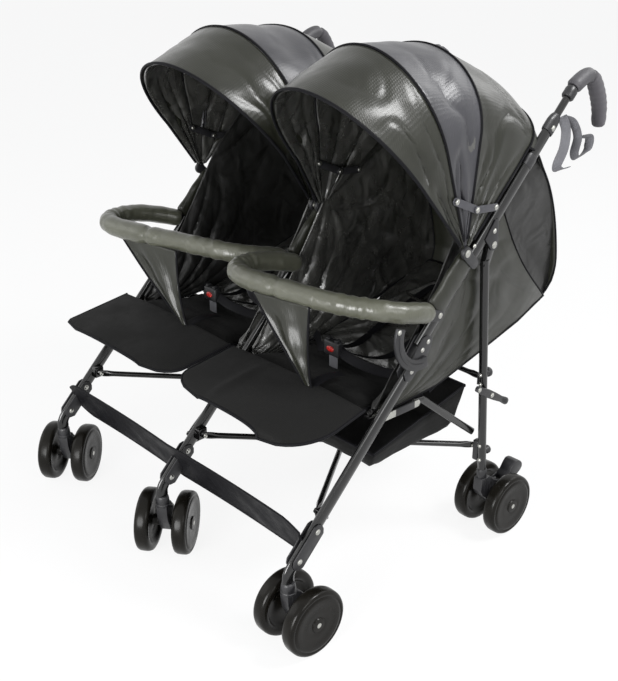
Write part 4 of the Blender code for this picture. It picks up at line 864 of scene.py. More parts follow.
# Coated nylon: black with an olive cast, a satin coat that lights up on folds, a fine plain
# weave (drawn at 2 mm so that it shows), and the soft creases of unlined cloth.
olive_nylon, nodes = finish_of("coated_olive_black_nylon", "black_nylon", "#1e1f18", 0.38,
                               (9, 0.30, 0.46, "#171812", "#25261e"), Sheen_Weight=0.04,
                               Sheen_Roughness=0.35, Coat_Weight=0.3, Coat_Roughness=0.18,
                               Specular_IOR_Level=0.3)
woven(*nodes, 0.0020, 0.0004, (0.085, 0.008))

# The inner faces' black nylon: thickly coated, so its folds catch bright lines.
# Its colour is lightened to a grey as painted light, for the dim insides of hoods and seats.
painted_light_nylon, nodes = finish_of("coated_black_nylon", "black_nylon", "#343432", 0.26,
                              (12, 0.20, 0.34, "#2a2a28", "#42423f"), Coat_Weight=0.9,
                              Coat_Roughness=0.14, Specular_IOR_Level=0.7)
woven(*nodes, 0.0020, 0.0003, (0.055, 0.020))

# Brushed polyester of the pads: flat black, no shine, a close weave (drawn at 2 mm).
pad_cloth, nodes = finish_of("brushed_black_polyester", "matte_cloth", "#0c0c0b", 0.82,
                             (16, 0.70, 0.88, "#090909", "#111110"), Sheen_Weight=0.02,
                             Sheen_Roughness=0.6, Specular_IOR_Level=0.15)
woven(*nodes, 0.0020, 0.0005, (0.060, 0.003))

BAYS = {"left": -1, "right": 1}
BAY_HALF = 0.200
SLOPE = radians(15.2)


def pad_mesh(columns, rows, place):
    """A closed pad: place(u, v, up) gives the points of its lower and upper sheets."""
    mesh = bmesh.new()
    bmesh.ops.create_grid(mesh, x_segments=columns, y_segments=rows, size=0.5)
    shares = {vertex: (vertex.co.x + 0.5, vertex.co.y + 0.5) for vertex in mesh.verts}
    bmesh.ops.extrude_face_region(mesh, geom=list(mesh.faces))
    for vertex in mesh.verts:
        if vertex in shares:
            vertex.co = place(*shares[vertex], -1)
        else:
            vertex.co = place(vertex.co.x + 0.5, vertex.co.y + 0.5, 1)
    return mesh


def inflated(piece, cap):
    """Lets a pad swell as foam in a sewn cover does, by a short cloth run kept to a cap."""
    scene = bpy.context.scene
    voxels = piece.modifiers.new("Voxels", "REMESH")
    voxels.mode = "VOXEL"
    voxels.voxel_size = 0.0055
    graph = bpy.context.evaluated_depsgraph_get()
    base = bpy.data.meshes.new_from_object(piece.evaluated_get(graph))
    piece.modifiers.remove(voxels)
    twin = bpy.data.objects.new(piece.name + "_swelling", base)
    scene.collection.objects.link(twin)
    still = [vertex.co.copy() for vertex in base.vertices]
    cloth = twin.modifiers.new("Cloth", "CLOTH")
    cloth.settings.quality = 5
    cloth.settings.use_pressure = True
    cloth.settings.uniform_pressure_force = 4.0
    cloth.settings.effector_weights.gravity = 0
    cloth.settings.tension_stiffness = 15
    cloth.settings.bending_stiffness = 0.5
    cloth.point_cache.frame_end = 20
    for step in range(1, 21):
        scene.frame_set(step)
    swollen = bpy.data.meshes.new_from_object(
        twin.evaluated_get(bpy.context.evaluated_depsgraph_get()))
    scene.frame_set(1)
    bpy.data.objects.remove(twin)
    for vertex, start in zip(swollen.vertices, still):
        move = vertex.co - start
        if move.length > cap:
            vertex.co = start + move.normalized() * cap
    for polygon in swollen.polygons:
        polygon.use_smooth = True
    swollen.materials.clear()
    swollen.materials.append(piece.data.materials[0])
    piece.data = swollen
    return piece


def ridges(angle, drift):
    """Sharp-crested folds round an angle, as taut thin cloth makes."""
    return 1 - abs(sin(angle + drift))


def creased(piece, middle, depth):
    """Gives a pad's cover the sharp folds that fan out from its lower corners."""
    mesh = bmesh.new()
    mesh.from_mesh(piece.data)
    mesh.normal_update()
    for vertex in mesh.verts:
        if vertex.normal.z < 0.25:
            continue
        across = (vertex.co.x - ORIGIN_X - middle) / 0.170
        along = (vertex.co.y - ORIGIN_Y - 0.402) / 0.380
        drift = 1.4 * noise.noise(Vector((across * 1.6, along * 1.8, middle)))
        right = ridges(atan2(along - 0.12, 1.15 - across) * 10, drift)
        left = ridges(atan2(along + 0.05, 1.15 + across) * 9, 2.0 + drift)
        fade = sqrt(max(0.0, 1 - across ** 2) * max(0.0, sin(pi * min(max(along, 0.0), 1.0))))
        vertex.co += vertex.normal * depth * fade * (max(right, left) ** 3 - 0.5)
    mesh.to_mesh(piece.data)
    mesh.free()


def soft_piece(piece, body, nodes):
    """Rounds a pad once its mesh is final, gives it its body, and hides the parts it replaces."""
    rounding = piece.modifiers.new("Rounding", "SUBSURF")
    rounding.levels = rounding.render_levels = 1
    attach(piece, body)
    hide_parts(*nodes)
    narrows(piece)
    return piece


ALONG = Vector((0, cos(SLOPE), sin(SLOPE)))
OUT = Vector((0, -sin(SLOPE), cos(SLOPE)))

for bay, sign in BAYS.items():
    middle = sign * BAY_HALF

    def seat_place(u, v, up):
        """Points of a seat cushion, channelled across at each third of its length."""
        edge = (1 - abs(2 * u - 1) ** 5) * (1 - abs(2 * v - 1) ** 5)
        channel = 0.0035 * (1 - abs(sin(3 * pi * v)) ** 0.5) * (1 if up > 0 else 0.3)
        point = at(middle, 0.208, 0.418).lerp(at(middle, 0.396, 0.388), v)
        half = 0.170 - 0.008 * sin(pi * v) - 0.012 * (1 - edge) * 0.5
        normal = Vector((0, 0.1576, 0.9875))
        thick = 0.0050 + 0.0085 * edge - channel * edge
        return (point + Vector(((2 * u - 1) * half, 0, 0))
                + normal * (up * thick - 0.005 * sin(pi * v) + (0.004 * edge if up > 0 else 0)))

    def back_place(u, v, up):
        """Points of a backrest cushion, drawn in at the waist and rounded at its top corners."""
        edge = (1 - abs(2 * u - 1) ** 5) * (1 - abs(2 * v - 1) ** 7)
        channel = 0.0030 * (1 - abs(sin(5 * pi * v)) ** 0.5) * (1 if up > 0 else 0.4)
        corner = 0.014 * max(0.0, (v - 0.86) / 0.14) ** 2
        half = 0.171 - 0.010 * sin(pi * v) - corner
        start = at(middle, 0.402, 0.378) + ALONG * (0.008 + v * 0.387)
        thick = 0.0046 + 0.0078 * edge - channel * edge
        return (start + Vector(((2 * u - 1) * half, 0, 0))
                + OUT * (0.0130 + up * thick + (0.005 * edge if up > 0 else 0)))

    seat = inflated(loose("seat_cushion_" + bay, pad_mesh(40, 26, seat_place), pad_cloth), 0.005)
    soft_piece(seat, "centre_frame", ["seat_" + bay])
    # The backrest's nylon is lightened to grey as painted light.
    back = inflated(loose("backrest_cushion_" + bay, pad_mesh(40, 48, back_place), painted_light_nylon),
                    0.005)
    creased(back, middle, 0.014)
    soft_piece(back, "back_" + bay, ["back_" + bay])

    # Webbing edges round both cushions.
    mesh = bmesh.new()
    for v in (0.0, 1.0):
        edging(mesh, 16, lambda t: seat_place(t, v, 0), 0.0060, 0.0060, (0, 0, 1))
    for u in (0.0, 1.0):
        edging(mesh, 12, lambda t: seat_place(u, t, 0), 0.0060, 0.0060, (0, 0, 1))
    finished("seat_piping_" + bay, mesh, band_cloth, "centre_frame", fold=True)
    mesh = bmesh.new()
    for u in (0.0, 1.0):
        edging(mesh, 24, lambda t: back_place(u, t, 0), 0.0065, 0.0065, (0, 0, 1))
    edging(mesh, 20, lambda t: back_place(t, 1.0, 0), 0.0065, 0.0065, (0, 0, 1))
    finished("backrest_piping_" + bay, mesh, band_cloth, "back_" + bay, fold=True)


# Nylon panels close each side from the tubes down to the seat and backrest, gathered in long
# creases; the outer ones have a cover over their liner, and a flat sleeve binds each tube.

# The outer wings' lining: the same cloth, less coated, its colour darkened as painted shade.
shaded_nylon, nodes = finish_of("shade_painted_liner_nylon", "black_nylon", "#1c1c1b", 0.42,
                              (12, 0.34, 0.50, "#161615", "#232322"), Coat_Weight=0.2,
                              Coat_Roughness=0.2, Specular_IOR_Level=0.3)
woven(*nodes, 0.0020, 0.0003, (0.055, 0.020))

TUBE_EDGE = [(0.240, 0.424), (0.290, 0.4830), (0.352, 0.5600), (0.410, 0.650), (0.462, 0.735),
             (0.545, 0.818), (0.627, 0.861)]
CURTAIN_EDGE = [(0.627, 0.861), (0.790, 0.800), (0.802, 0.490)]
COVER_EDGE = [(0.248, 0.422), (0.300, 0.4745), (0.380, 0.555), (0.460, 0.635), (0.540, 0.7155),
              (0.586, 0.7450)]
PAD_EDGE = [(0.232, 0.398), (0.330, 0.398), (0.430, 0.402), (0.540, 0.429), (0.650, 0.458),
            (0.720, 0.476), (0.792, 0.494)]


def along_line(points, share):
    """A point of (y, z) at a share of the way along a broken line."""
    place = share * (len(points) - 1)
    index = min(int(place), len(points) - 2)
    t = place - index
    return Vector(points[index]).lerp(Vector(points[index + 1]), t)


def curtain_line(v, reach=0.0):
    """The rear curtain's line in (y, z), from the last bow v = 0 down to its hem v = 1."""
    top, control, hem = (Vector(point) for point in CURTAIN_EDGE)
    control = control + Vector((reach, 0))
    point = top * (1 - v) ** 2 + control * 2 * v * (1 - v) + hem * v * v
    return point + Vector((-0.020, -0.004)) * max(0.0, (v - 0.93) / 0.07) ** 1.5


def wing_place(x, way, upper, spread):
    """Where a point of a side wing lies, from its upper edge v = 0 to its lower edge v = 1."""
    def place(u, v):
        point = along_line(upper, u).lerp(along_line(PAD_EDGE, u), v)
        rear = max(0.0, u - 0.5) * 2
        straight = along_line(upper, 1.0).lerp(along_line(PAD_EDGE, 1.0), v)
        point += (curtain_line(v) - straight) * rear ** 1.5 * spread
        point += Vector((-0.020, -0.010)) * rear * sin(pi * v) * (1 - spread)
        bow = 0.004 * sin(pi * v) * sin(pi * u)
        tuck = (0.012 + 0.012 * max(0.0, u - 0.75) * 4) * v ** 4
        out = 0.0070 * (1 - v) ** 3 * (1 - rear) - bow - tuck + 0.0075 * rear ** 3 * spread
        return at(x + way * out, point.x, point.y)
    return place


def wing_relief(u, v):
    """Long folds that fan out from the front lower corner and from the hood's hub."""
    drift = 1.6 * noise.noise(Vector((u * 2.2, v * 2.2, 0.0)))
    front = ridges(atan2(1.02 - v, u + 0.06) * 11, drift)
    hub = ridges(atan2(v + 0.04, abs(u - 0.62) + 0.05) * 7, 1.5 + drift)
    share = min(max(u * 1.2 - 0.1, 0.0), 1.0)
    edge = sin(pi * min(max(v, 0.03), 0.97)) ** 0.6 * min(1.0, (1.02 - u) * 8)
    return edge * (0.0120 * ((1 - share) * front ** 2 + share * hub ** 2 - 0.35)
                   + 0.0060 * noise.noise(Vector((u * 6, v * 5, 2.0))))


for bay, sign in BAYS.items():
    for way in (-1, 1):
        hand = "outer" if way == sign else "inner"
        # Outer liners take the nylon darkened as painted shade, inner ones the nylon lightened as
        # painted light.
        lining = shaded_nylon if hand == "outer" else painted_light_nylon
        layers = [("liner", TUBE_EDGE, 0.1750, lining, 1.0, (0.66, 0.40), 0.160)]
        if hand == "outer":
            layers.append(("cover", COVER_EDGE, 0.1850, olive_nylon, 0.0, (0.58, 0.34), 0.091))
        for layer, upper, reach, cloth, spread, flat, area in layers:
            edge_place = wing_place(sign * BAY_HALF + way * reach, way, upper, spread)
            mesh = cloth_mesh(130, 60, 0.60, 0.26, edge_place, lambda u, v: wing_relief(u, v)
                              * (1.0 if layer == "liner" else 0.35))
            wing = finished(f"wing_{layer}_{bay}_{hand}", mesh, cloth, "centre_frame", skin=0.0012,
                            fold=True)
            mesh = bmesh.new()
            edging(mesh, 40, lambda t: edge_place(t, 1.0), 0.0060, 0.0045)
            edging(mesh, 20, lambda t: edge_place(1.0, t), 0.0050, 0.0035)
            binding = finished(f"wing_{layer}_binding_{bay}_{hand}", mesh, band_cloth,
                               "centre_frame", fold=True)

for side, x in FRAME_X.items():
    mesh = bmesh.new()
    route = [at(x, y / 1000 - 0.0095, y / 1000 + 0.20071) for y in range(388, 484, 4)]
    count = len(route) - 1
    rings = [(0.0104 + 0.0004 * sin(step * 1.1), 0.0262 + 0.0010 * sin(step * 0.6 + 0.6)
              - 0.0110 * max(0.0, step / count - 0.85) / 0.15) for step in range(count + 1)]
    rings[0], rings[-1] = (0.0088, 0.0235), (0.0088, 0.0130)
    sweep(mesh, route, lambda share: rings[round(share * count)], 36)
    finished("tube_sleeve_" + side, mesh, olive_nylon, side + "_frame", crease=70)


# A folding hood over each bay: three panels of coated nylon over spring-steel bows that turn
# on hubs at the tubes, the middle one blue grey, with piped seams and a bound front edge.

# The middle panel's dyed nylon: blue grey, made lighter as painted light, a little duller than the
# olive panels.
blue_nylon, nodes = finish_of("blue_grey_nylon_painted_light", "black_nylon", "#29292d", 0.38,
                              (10, 0.32, 0.48, "#222226", "#343439"), Sheen_Weight=0.06,
                              Sheen_Roughness=0.4, Coat_Weight=0.2, Coat_Roughness=0.32)
woven(*nodes, 0.0020, 0.0004, (0.085, 0.006))

BOW_ANGLES = (49.6, 73.0, 98.0, 137.0)
BOW_HEIGHTS = (0.412, 0.391, 0.364, 0.346)
HUB = (0.444, 0.691)


def bow_height(angle):
    """The hood's height over its hub at an angle, with the cloth drawn in between bows."""
    for low, high, start, end in zip(BOW_ANGLES, BOW_ANGLES[1:], BOW_HEIGHTS, BOW_HEIGHTS[1:]):
        if angle <= high or high == BOW_ANGLES[-1]:
            t = (angle - low) / (high - low)
            return start + (end - start) * t - 0.009 * sin(pi * min(max(t, 0.0), 1.0))


HOOD_HUBS = {-1: (-0.412, -0.012), 1: (0.012, 0.412)}
HOOD_WALLS = {-1: (-0.381, 0.020), 1: (0.060, 0.406)}
HOOD_PEAKS = {-1: (-0.165, 0.403), 1: (0.238, 0.414)}


def hood_point(sign, angle, share, lift=0.0):
    """A point of a hood: share runs from one hub over the top to the other."""
    low, high = HOOD_WALLS[sign]
    peak, top = HOOD_PEAKS[sign]
    height = bow_height(angle) * top / BOW_HEIGHTS[0] + lift
    corner = 0.170 + 0.080 * (angle - BOW_ANGLES[0]) / (BOW_ANGLES[-1] - BOW_ANGLES[0])
    rise = min(share, 1 - share) / 0.20
    if rise < 1:
        radius = 0.007 + (corner - 0.007) * rise
        which = 1 if share > 0.5 else 0
        x = HOOD_HUBS[sign][which] * (1 - rise) + HOOD_WALLS[sign][which] * rise
        x += lift if which else -lift
    else:
        turn = pi * (share - 0.20) / 0.60
        across = -cos(turn)
        x = peak + across * ((high - peak if across > 0 else peak - low) + lift)
        radius = corner + (height - corner) * sin(turn)
    heading = radians(angle)
    return at(x, HUB[0] - radius * cos(heading), HUB[1] + radius * sin(heading))


def panel(sign, first, last):
    """Where a point of the hood panel between two bows lies."""
    return lambda u, v: hood_point(sign, first + (last - first) * v, 0.004 + 0.992 * u)


def panel_relief(seed, depth):
    """Cloth between two bows: long shallow creases along them, and gathers at the hubs."""
    def relief(u, v):
        hub = max(0.0, 1 - min(u, 1 - u) / 0.20)
        span = sin(pi * v)
        gathers = 0.0030 * hub ** 1.5 * sin(v * 17 + seed) * span
        slack = depth * span * noise.noise(Vector((u * 9, v * 2.2, seed)))
        fold = 1 - abs(noise.noise(Vector((u * 8 + 0.6 * v, v * 2.4, seed + 9)))) * 3
        flank = min(1.0, 2.5 * abs(u - 0.5))
        crease = 0.0075 * span * flank * max(0.0, fold) ** 3
        return gathers + slack - crease
    return relief


def lining_relief(seed):
    """The loose coated lining: sharp folds that run from hub to hub and meet there."""
    def relief(u, v):
        hub = max(0.0, 1 - min(u, 1 - u) / 0.45)
        drift = 1.5 * noise.noise(Vector((u * 5, v * 2, seed)))
        return sin(pi * v) ** 0.7 * (0.0080 * (0.3 + 0.7 * hub) * (ridges(v * 9, drift) ** 2 - 0.4)
                                     + 0.0040 * noise.noise(Vector((u * 8, v * 3, seed))))
    return relief


def curtain_place(sign):
    """Where a point of the rear curtain lies, from the last bow down and under the backrest."""
    middle = sign * BAY_HALF

    def place(u, v):
        top = hood_point(sign, 137.0, 0.20 + 0.60 * u)
        half = 0.1825 - 0.026 * max(0.0, (v - 0.82) / 0.18) ** 2
        settle = min(1.0, v / 0.35)
        settle = settle * settle * (3 - 2 * settle)
        x = (top.x - ORIGIN_X) * (1 - settle) + (middle + (2 * u - 1) * half) * settle
        point = curtain_line(v, 0.012 * sin(pi * u))
        rise = Vector((top.y - ORIGIN_Y, top.z)) - Vector(CURTAIN_EDGE[0])
        point += rise * (1 - v) ** 2
        point.x += 0.004 * sin(u * 23 + 1.0) * sin(pi * v) ** 0.7 * sin(pi * u) ** 0.5
        return at(x, point.x, point.y)
    return place


# The braces' three rivets at y and z, and the thickness of their links.
ELBOW = [(0.405, 0.800), (0.466, 0.772), (0.522, 0.766)]
LINK_THICK = 0.0028
PANELS = (("front", 49.6, 72.6, olive_nylon), ("middle", 73.4, 98.0, blue_nylon),
          ("rear", 98.0, 137.0, olive_nylon))

for bay, sign in BAYS.items():
    for number, (name, first, last, cloth) in enumerate(PANELS):
        body = "hood_front_" + bay if name == "front" else "centre_frame"
        mesh = cloth_mesh(150, 26, 1.10, 0.15 + 0.07 * (name == "rear"),
                          panel(sign, first, last), panel_relief(number * 3.1 + sign, 0.006))
        nodes = {"front": ["hood_front_" + bay], "middle": ["hood_rear_" + bay], "rear": []}[name]
        piece = finished(f"hood_{name}_panel_{bay}", mesh, cloth, body, nodes, skin=0.0012,
                         fold=True)
        mesh = bmesh.new()
        start = 0.02
        for angle in {"front": (), "middle": (73.2,), "rear": (98.0, 136.8)}[name]:
            edging(mesh, 90, lambda t: hood_point(sign, angle, start + (1 - 2 * start) * t, 0.0012),
                   0.0048, 0.0048, (1, 0.01, 0))
        if name == "front":
            edging(mesh, 90, lambda t: hood_point(sign, 49.9, start + (1 - 2 * start) * t, 0.0006),
                   0.0046, 0.0070, (1, 0.01, 0), 12)
        piping = finished(f"hood_{name}_piping_{bay}", mesh, band_cloth, body, fold=True)
        area = {"front": 0.112, "middle": 0.118, "rear": 0.170}[name]
    # The hood linings' nylon is lightened to grey as painted light.
    for name, first, last, body in (("front", 50.2, 72.4, "hood_front_" + bay),
                                    ("rear", 73.6, 136.6, "centre_frame")):
        depth = last - first
        mesh = cloth_mesh(120, 18 + 30 * (name == "rear"), 1.10, depth * 0.006,
                          lambda u, v: hood_point(sign, first + depth * v, 0.008 + 0.984 * u,
                                                  -0.0055), lining_relief(sign + depth))
        lining = finished(f"hood_{name}_lining_{bay}", mesh, painted_light_nylon, body, skin=0.0008,
                          fold=True)
    mesh = cloth_mesh(72, 60, 0.37, 0.45, curtain_place(sign),
                      lambda u, v: 0.0035 * sin(u * 29 + 2 * v) * sin(pi * v) ** 0.6
                      + 0.005 * noise.noise(Vector((u * 5, v * 3, 1.0))) * sin(pi * v))
    curtain = finished("rear_curtain_" + bay, mesh, olive_nylon, "centre_frame", skin=0.0012,
                       fold=True)
    mesh = bmesh.new()
    edging(mesh, 30, lambda t: curtain_place(sign)(t, 1.0), 0.0060, 0.0050, (0, 0, 1))
    for u in (0.0, 1.0):
        edging(mesh, 30, lambda t: curtain_place(sign)(u, t), 0.0050, 0.0050)
    hem = finished("curtain_binding_" + bay, mesh, band_cloth, "centre_frame", fold=True)

    # Hubs, and the two-part elbow braces that snap straight to spread the hood.
    mesh = bmesh.new()
    discs = bmesh.new()
    screws = bmesh.new()
    for way in (-1, 1):
        wall = HOOD_HUBS[sign][way > 0] + way * 0.0035
        spun(discs, [(-0.0040, 0.0), (-0.0040, 0.0125), (0.0, 0.0130), (0.0030, 0.0118),
                    (0.0038, 0.0090), (0.0030, 0.0075), (0.0030, 0.0)],
             at(wall, *HUB), (way, 0, 0), 32)
        arm = round_points(HUB, 0.0110, 45, 225, 12)
        arm += round_points((0.4740, 0.6620), 0.0110, 225, 405, 12)
        plate(discs, arm, wall - way * 0.0050, wall - way * 0.0020, 0.0008)
        rivet(screws, at(wall + way * 0.0034, *HUB), (way, 0, 0), 0.0062)
        rivet(screws, at(wall + way * 0.0036, 0.462, 0.702), (way, 0, 0), 0.0036)
        inner_x, outer_x = HOOD_HUBS[sign][way > 0], HOOD_WALLS[sign][way > 0]
        faces = [(way, mesh)] if way > 0 else [(way, mesh), (1, discs)]
        for out, links in faces:
            cloth_x = inner_x + (outer_x - inner_x) * 0.46 + out * (0.0030 if out == way else 0.011)
            for number, (start, end) in enumerate(zip(ELBOW, ELBOW[1:])):
                heading = degrees(atan2(end[1] - start[1], end[0] - start[0]))
                link = round_points(start, 0.0075, heading + 90, heading + 270, 10)
                link += round_points(end, 0.0075, heading - 90, heading + 90, 10)
                link_x = cloth_x + out * LINK_THICK * number
                plate(links, link, link_x, link_x + out * LINK_THICK, 0.0008)
            for y, z in ELBOW:
                rivet(screws, at(cloth_x + out * 0.0058, y, z), (out, 0, 0), 0.0046)
    finished("hood_hubs_" + bay, discs, charcoal_nylon, "centre_frame", fold=True)
    finished("hood_braces_" + bay, mesh, grey_acetal, "centre_frame", fold=True)
    finished("hood_rivets_" + bay, screws, bright_zinc, "centre_frame", fold=True)


# A U-shaped steel bar in front of each child, sheathed in foam and a satin nylon sleeve with
# one sewn seam, its flat ends riveted to the curved arms; a cloth panel runs down from it.

# The bars' sleeves: a satin olive nylon, made a lighter olive grey as painted light on their tops.
sleeve_nylon_painted_light, nodes = finish_of("satin_olive_nylon_painted_light", "black_nylon", "#48493e", 0.36,
                               (14, 0.30, 0.44, "#3e3f34", "#56574b"), Sheen_Weight=0.1,
                               Sheen_Roughness=0.35, Coat_Weight=0.3, Coat_Roughness=0.22)
woven(*nodes, 0.0020, 0.0004, (0.030, 0.005))

# Each bar's middle line seen from above, as x and y, from its left rivet to its right one.
BAR_LINES = {-1: [(-0.396, 0.366), (-0.420, 0.322), (-0.434, 0.266), (-0.432, 0.210),
                  (-0.410, 0.176), (-0.365, 0.168), (-0.312, 0.177), (-0.258, 0.189),
                  (-0.200, 0.209), (-0.127, 0.230), (-0.066, 0.252), (-0.036, 0.290),
                  (-0.026, 0.330), (-0.024, 0.366)],
             1: [(0.024, 0.366), (0.020, 0.320), (0.014, 0.272), (0.015, 0.228), (0.033, 0.194),
                 (0.075, 0.181), (0.121, 0.184), (0.170, 0.192), (0.256, 0.208), (0.318, 0.227),
                 (0.364, 0.252), (0.392, 0.288), (0.400, 0.326), (0.396, 0.366)]}

for bay, sign in BAYS.items():
    route = curve([at(x, y, 0.585 + 0.030 * min(1.0, max(0.0, (0.366 - y) / 0.12)) ** 0.8)
                   for x, y in BAR_LINES[sign]], 9)
    count = len(route) - 1
    lengths = [0.0]
    for start, end in zip(route, route[1:]):
        lengths.append(lengths[-1] + (end - start).length)

    seam_x = -0.262 if sign < 0 else 0.164
    seam_index = min(range(count + 1), key=lambda step: abs(route[step].x - at(seam_x, 0, 0).x)
                     + (route[step].y > at(0, 0.24, 0).y))

    def bar_size(share):
        """The sleeve's half widths: gathers in its bends, a step at its seam, tied ends."""
        index = round(share * count)
        run = lengths[index] / lengths[-1]
        bend = max(0.0, 1 - abs(run - 0.25) / 0.12) + max(0.0, 1 - abs(run - 0.75) / 0.12)
        gather = 0.0013 * bend * sin(index * 1.7) + 0.0004 * sin(index * 0.9)
        gather += 0.0022 * max(0.0, 1 - abs(run - 0.45) / 0.20)
        seam = -0.0034 * max(0.0, 1 - abs(index - seam_index) / 1.5)
        tie = 0.0045 * max(0.0, 1 - min(run, 1 - run) / 0.03) ** 2
        size = 0.0203 + gather + seam - tie
        return size, size * 1.02

    mesh = bmesh.new()
    sweep(mesh, route, bar_size, 40, (0, 0, 1))
    bar = finished("bar_sleeve_" + bay, mesh, sleeve_nylon_painted_light, "bumper_" + bay, ["bumper_" + bay],
                   fold=True, crease=80)
    mesh = bmesh.new()
    screws = bmesh.new()
    tab = [(0.345, 0.576), (0.366, 0.5715), (0.383, 0.568), (0.391, 0.5712), (0.394, 0.579),
           (0.391, 0.5868), (0.383, 0.590), (0.366, 0.5955), (0.345, 0.600)]
    for frame_x in (sign * 0.400, 0.0):
        plate(mesh, tab, frame_x + sign * 0.0078, frame_x + sign * 0.0108, 0.0006)
        rivet(screws, at(frame_x + sign * 0.0108, 0.383, 0.579), (sign, 0, 0), 0.0048)
    finished("bar_tabs_" + bay, mesh, charcoal_nylon, "bumper_" + bay, fold=True)
    finished("bar_rivets_" + bay, screws, bright_zinc, "bumper_" + bay, fold=True)

    crotch_x, crotch_half = (-0.255, 0.084) if sign < 0 else (0.186, 0.066)

    def crotch_place(u, v):
        """The tapered panel from the bar down between the legs to the calf rest."""
        half = (crotch_half - 0.0080) * (1 - v) ** 1.15 + 0.0080
        x = crotch_x + (sign * BAY_HALF + 0.060 - crotch_x) * v
        y = 0.176 + 0.004 * v - 0.004 * sin(pi * v)
        return at(x + (2 * u - 1) * half, y + 0.014 * (1 - v) * (2 * u - 1)
                  + 0.0045 * sin(3 * pi * u) * sin(pi * v), 0.6030 + (0.4400 - 0.6030) * v)

    mesh = cloth_mesh(34, 34, 0.11, 0.16, crotch_place,
                      lambda u, v: 0.0010 * sin(u * 11 + 2 * v) * sin(pi * v)
                      + 0.002 * noise.noise(Vector((u * 4, v * 5, sign))))
    crotch = finished("crotch_panel_" + bay, mesh, olive_nylon, "bumper_" + bay, skin=0.0024,
                      fold=True)
    mesh = bmesh.new()
    for u in (0.0, 1.0):
        edging(mesh, 20, lambda t: crotch_place(u, t), 0.0050, 0.0048)
    strip(mesh, [crotch_place(0.5, 1.0) + Vector((0, step * 0.009, 0.007 * sin(pi * step / 10)))
                 for step in range(11)], 0.0260, 0.0026, (1, 0, 0), 12)
    hem = finished("crotch_binding_" + bay, mesh, band_cloth, "bumper_" + bay, fold=True)


# A board in matt black cloth is hinged in front of each seat, rounded at its front corners
# and piped round its edge.

# How each front corner is cut: over how much of the depth, and by how much of the width.
CALF_CUTS = {-1: ((0.016, 0.050), (0.052, 0.090)), 1: ((0.052, 0.100), (0.105, 0.110))}

for bay, sign in BAYS.items():
    middle = sign * BAY_HALF
    rest_normal = Vector((0, -0.1326, 0.9912))

    def calf_place(u, v, up):
        """Points of a calf rest, a little arched across and cut round at its front corners."""
        reach = 0.1735 * v
        depth, amount = CALF_CUTS[sign][u > 0.5]
        cut = min(max(0.0, 1 - reach / depth), 1.0)
        half = 0.194 - amount * (1 - sqrt(1 - cut ** 2)) * abs(2 * u - 1)
        ridge = 0.0045 * exp(-((u - 0.32) / 0.028) ** 2) * sin(pi * v) if sign > 0 else 0.0
        droop = 0.016 * max(0.0, 2 * u - 1) ** 2 * (1 - v) if sign > 0 else 0.0
        edge = (1 - abs(2 * u - 1) ** 6) * (1 - abs(2 * v - 1) ** 6)
        point = at(middle, 0.028, 0.412).lerp(at(middle, 0.200, 0.435), v)
        arch = 0.006 * (1 - (2 * u - 1) ** 2)
        return (point + Vector(((2 * u - 1) * half, 0, -droop))
                + rest_normal * (arch + ridge + up * (0.0022 + 0.0036 * edge)))

    rest = loose("calf_rest_pad_" + bay, pad_mesh(44, 26, calf_place), pad_cloth)
    soft_piece(rest, "calf_rest_" + bay, ["calf_rest_" + bay])
    mesh = bmesh.new()
    rim = [calf_place(0.0, 1 - step / 20, 0) for step in range(20)]
    rim += [calf_place(step / 30, 0.0, 0) for step in range(31)]
    rim += [calf_place(1.0, step / 20, 0) for step in range(1, 21)]
    strip(mesh, rim, 0.0062, 0.0062, (0, 0, 1), 12)
    finished("calf_rest_piping_" + bay, mesh, band_cloth, "calf_rest_" + bay, fold=True)


# A sling of matt black cloth under the seats, hung between the frames by its bound rim; it
# sags between its corners.

BASKET_Z = 0.266


def basket_place(u, v):
    """A point of the basket's cloth: u across all three frames, v from front to rear."""
    across = 2 * u - 1
    rim = 0.308 + 0.060 * v
    wall_u = min(1.0, max(0.0, (abs(across) - 0.93) / 0.07))
    wall_v = min(1.0, max(0.0, (abs(2 * v - 1) - 0.88) / 0.12))
    wall = max(wall_u, wall_v) if abs(across) > 0.10 else wall_u
    sag = 0.010 * (1 - (2 * abs(abs(across) - 0.5)) ** 2) * (1 - abs(2 * v - 1) ** 3)
    dip = 0.033 * max(0.0, 2 * v - 1) * max(0.0, 1 - abs(across) / 0.10)
    z = BASKET_Z - sag * 0.4 + (rim - BASKET_Z) * wall ** 1.5 - dip
    return at(across * 0.372, 0.250 + 0.272 * v, z)


mesh = cloth_mesh(150, 56, 0.78, 0.36, basket_place,
                  lambda u, v: 0.0018 * noise.noise(Vector((u * 22, v * 6, 3.0)))
                  + 0.0012 * sin(u * 70 + v * 6) * sin(pi * v))
sling = finished("basket_sling", mesh, pad_cloth, "centre_frame", ["basket"], skin=0.0014,
                 fold=True, crease=80)
mesh = bmesh.new()
for v in (0.0, 1.0):
    for first, last in ((0.0, 0.44), (0.56, 1.0)):
        edging(mesh, 40, lambda t: basket_place(first + (last - first) * t, v), 0.0060, 0.0070,
               (0, 0, 1))
for u in (0.0, 1.0):
    edging(mesh, 24, lambda t: basket_place(u, t), 0.0060, 0.0060, (0, 0, 1))
rim = finished("basket_binding", mesh, band_cloth, "centre_frame", fold=True)


# Black webbing lap and shoulder straps meet in a moulded buckle in front of each seat; its
# red button frees them. The buckle's own grey strap comes up through the seat cushion.

# Polished ABS buttons: signal red, bright and glossy.
red_abs, nodes = finish_of("red_abs", "red_button", "#c8201a", 0.28,
                           (120, 0.22, 0.36, "#bb1c17", "#d4281f"), Coat_Weight=0.4)

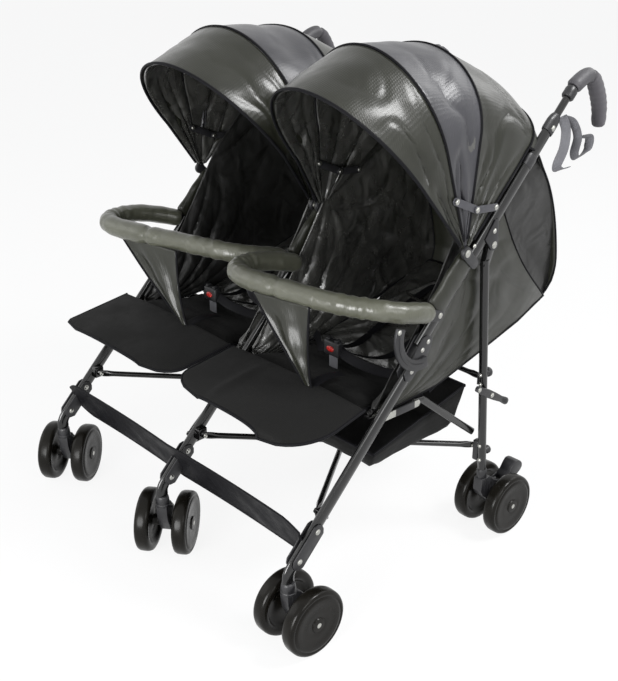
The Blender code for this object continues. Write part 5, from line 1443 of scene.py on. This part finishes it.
for bay, sign in BAYS.items():
    middle = sign * BAY_HALF
    mesh = bmesh.new()
    block(mesh, (middle - 0.021, 0.296, 0.449), (middle + 0.021, 0.314, 0.481), 0.0040)
    block(mesh, (middle - 0.0165, 0.2985, 0.480), (middle - 0.0075, 0.3115, 0.4855), 0.0015)
    block(mesh, (middle + 0.0075, 0.2985, 0.480), (middle + 0.0165, 0.3115, 0.4855), 0.0015)
    finished("harness_buckle_" + bay, mesh, charcoal_nylon, "buckle_" + bay, ["buckle_" + bay])
    mesh = bmesh.new()
    spun(mesh, [(-0.0035, 0.0), (-0.0035, 1.0), (0.0016, 1.0), (0.0024, 0.90), (0.0026, 0.60),
                (0.0026, 0.0)], (0, 0, 0), (0, -1, 0), 40)
    bmesh.ops.scale(mesh, verts=mesh.verts, vec=(0.0100, 1, 0.0060))
    bmesh.ops.translate(mesh, verts=mesh.verts, vec=at(middle, 0.296, 0.465))
    finished("harness_button_" + bay, mesh, red_abs, "button_" + bay, ["button_" + bay], crease=50)
    mesh = bmesh.new()
    strip(mesh, [at(middle, 0.3050, z) for z in (0.409, 0.420, 0.435, 0.452)], 0.025, 0.0024)
    finished("buckle_strap_" + bay, mesh, grey_webbing, "buckle_" + bay)
    mesh = bmesh.new()
    for way in (-1, 1):
        lap = curve([at(middle + way * 0.019, 0.306, 0.462), at(middle + way * 0.050, 0.318, 0.446),
                     at(middle + way * 0.090, 0.350, 0.428), at(middle + way * 0.135, 0.388, 0.420),
                     at(middle + way * 0.160, 0.402, 0.414)], 8)
        strip(mesh, lap, 0.020, 0.0022, (0, 0.6, 0.8), 12)
        shoulder = curve([at(middle + way * 0.018, 0.310, 0.470),
                          at(middle + way * 0.030, 0.345, 0.445),
                          at(middle + way * 0.045, 0.420, 0.424),
                          at(middle + way * 0.052, 0.520, 0.449),
                          at(middle + way * 0.052, 0.640, 0.4815),
                          at(middle + way * 0.050, 0.700, 0.4900)], 8)
        strip(mesh, shoulder, 0.020, 0.0022, (1, 0, 0), 12)
    finished("harness_straps_" + bay, mesh, band_cloth, "centre_frame", fold=True)
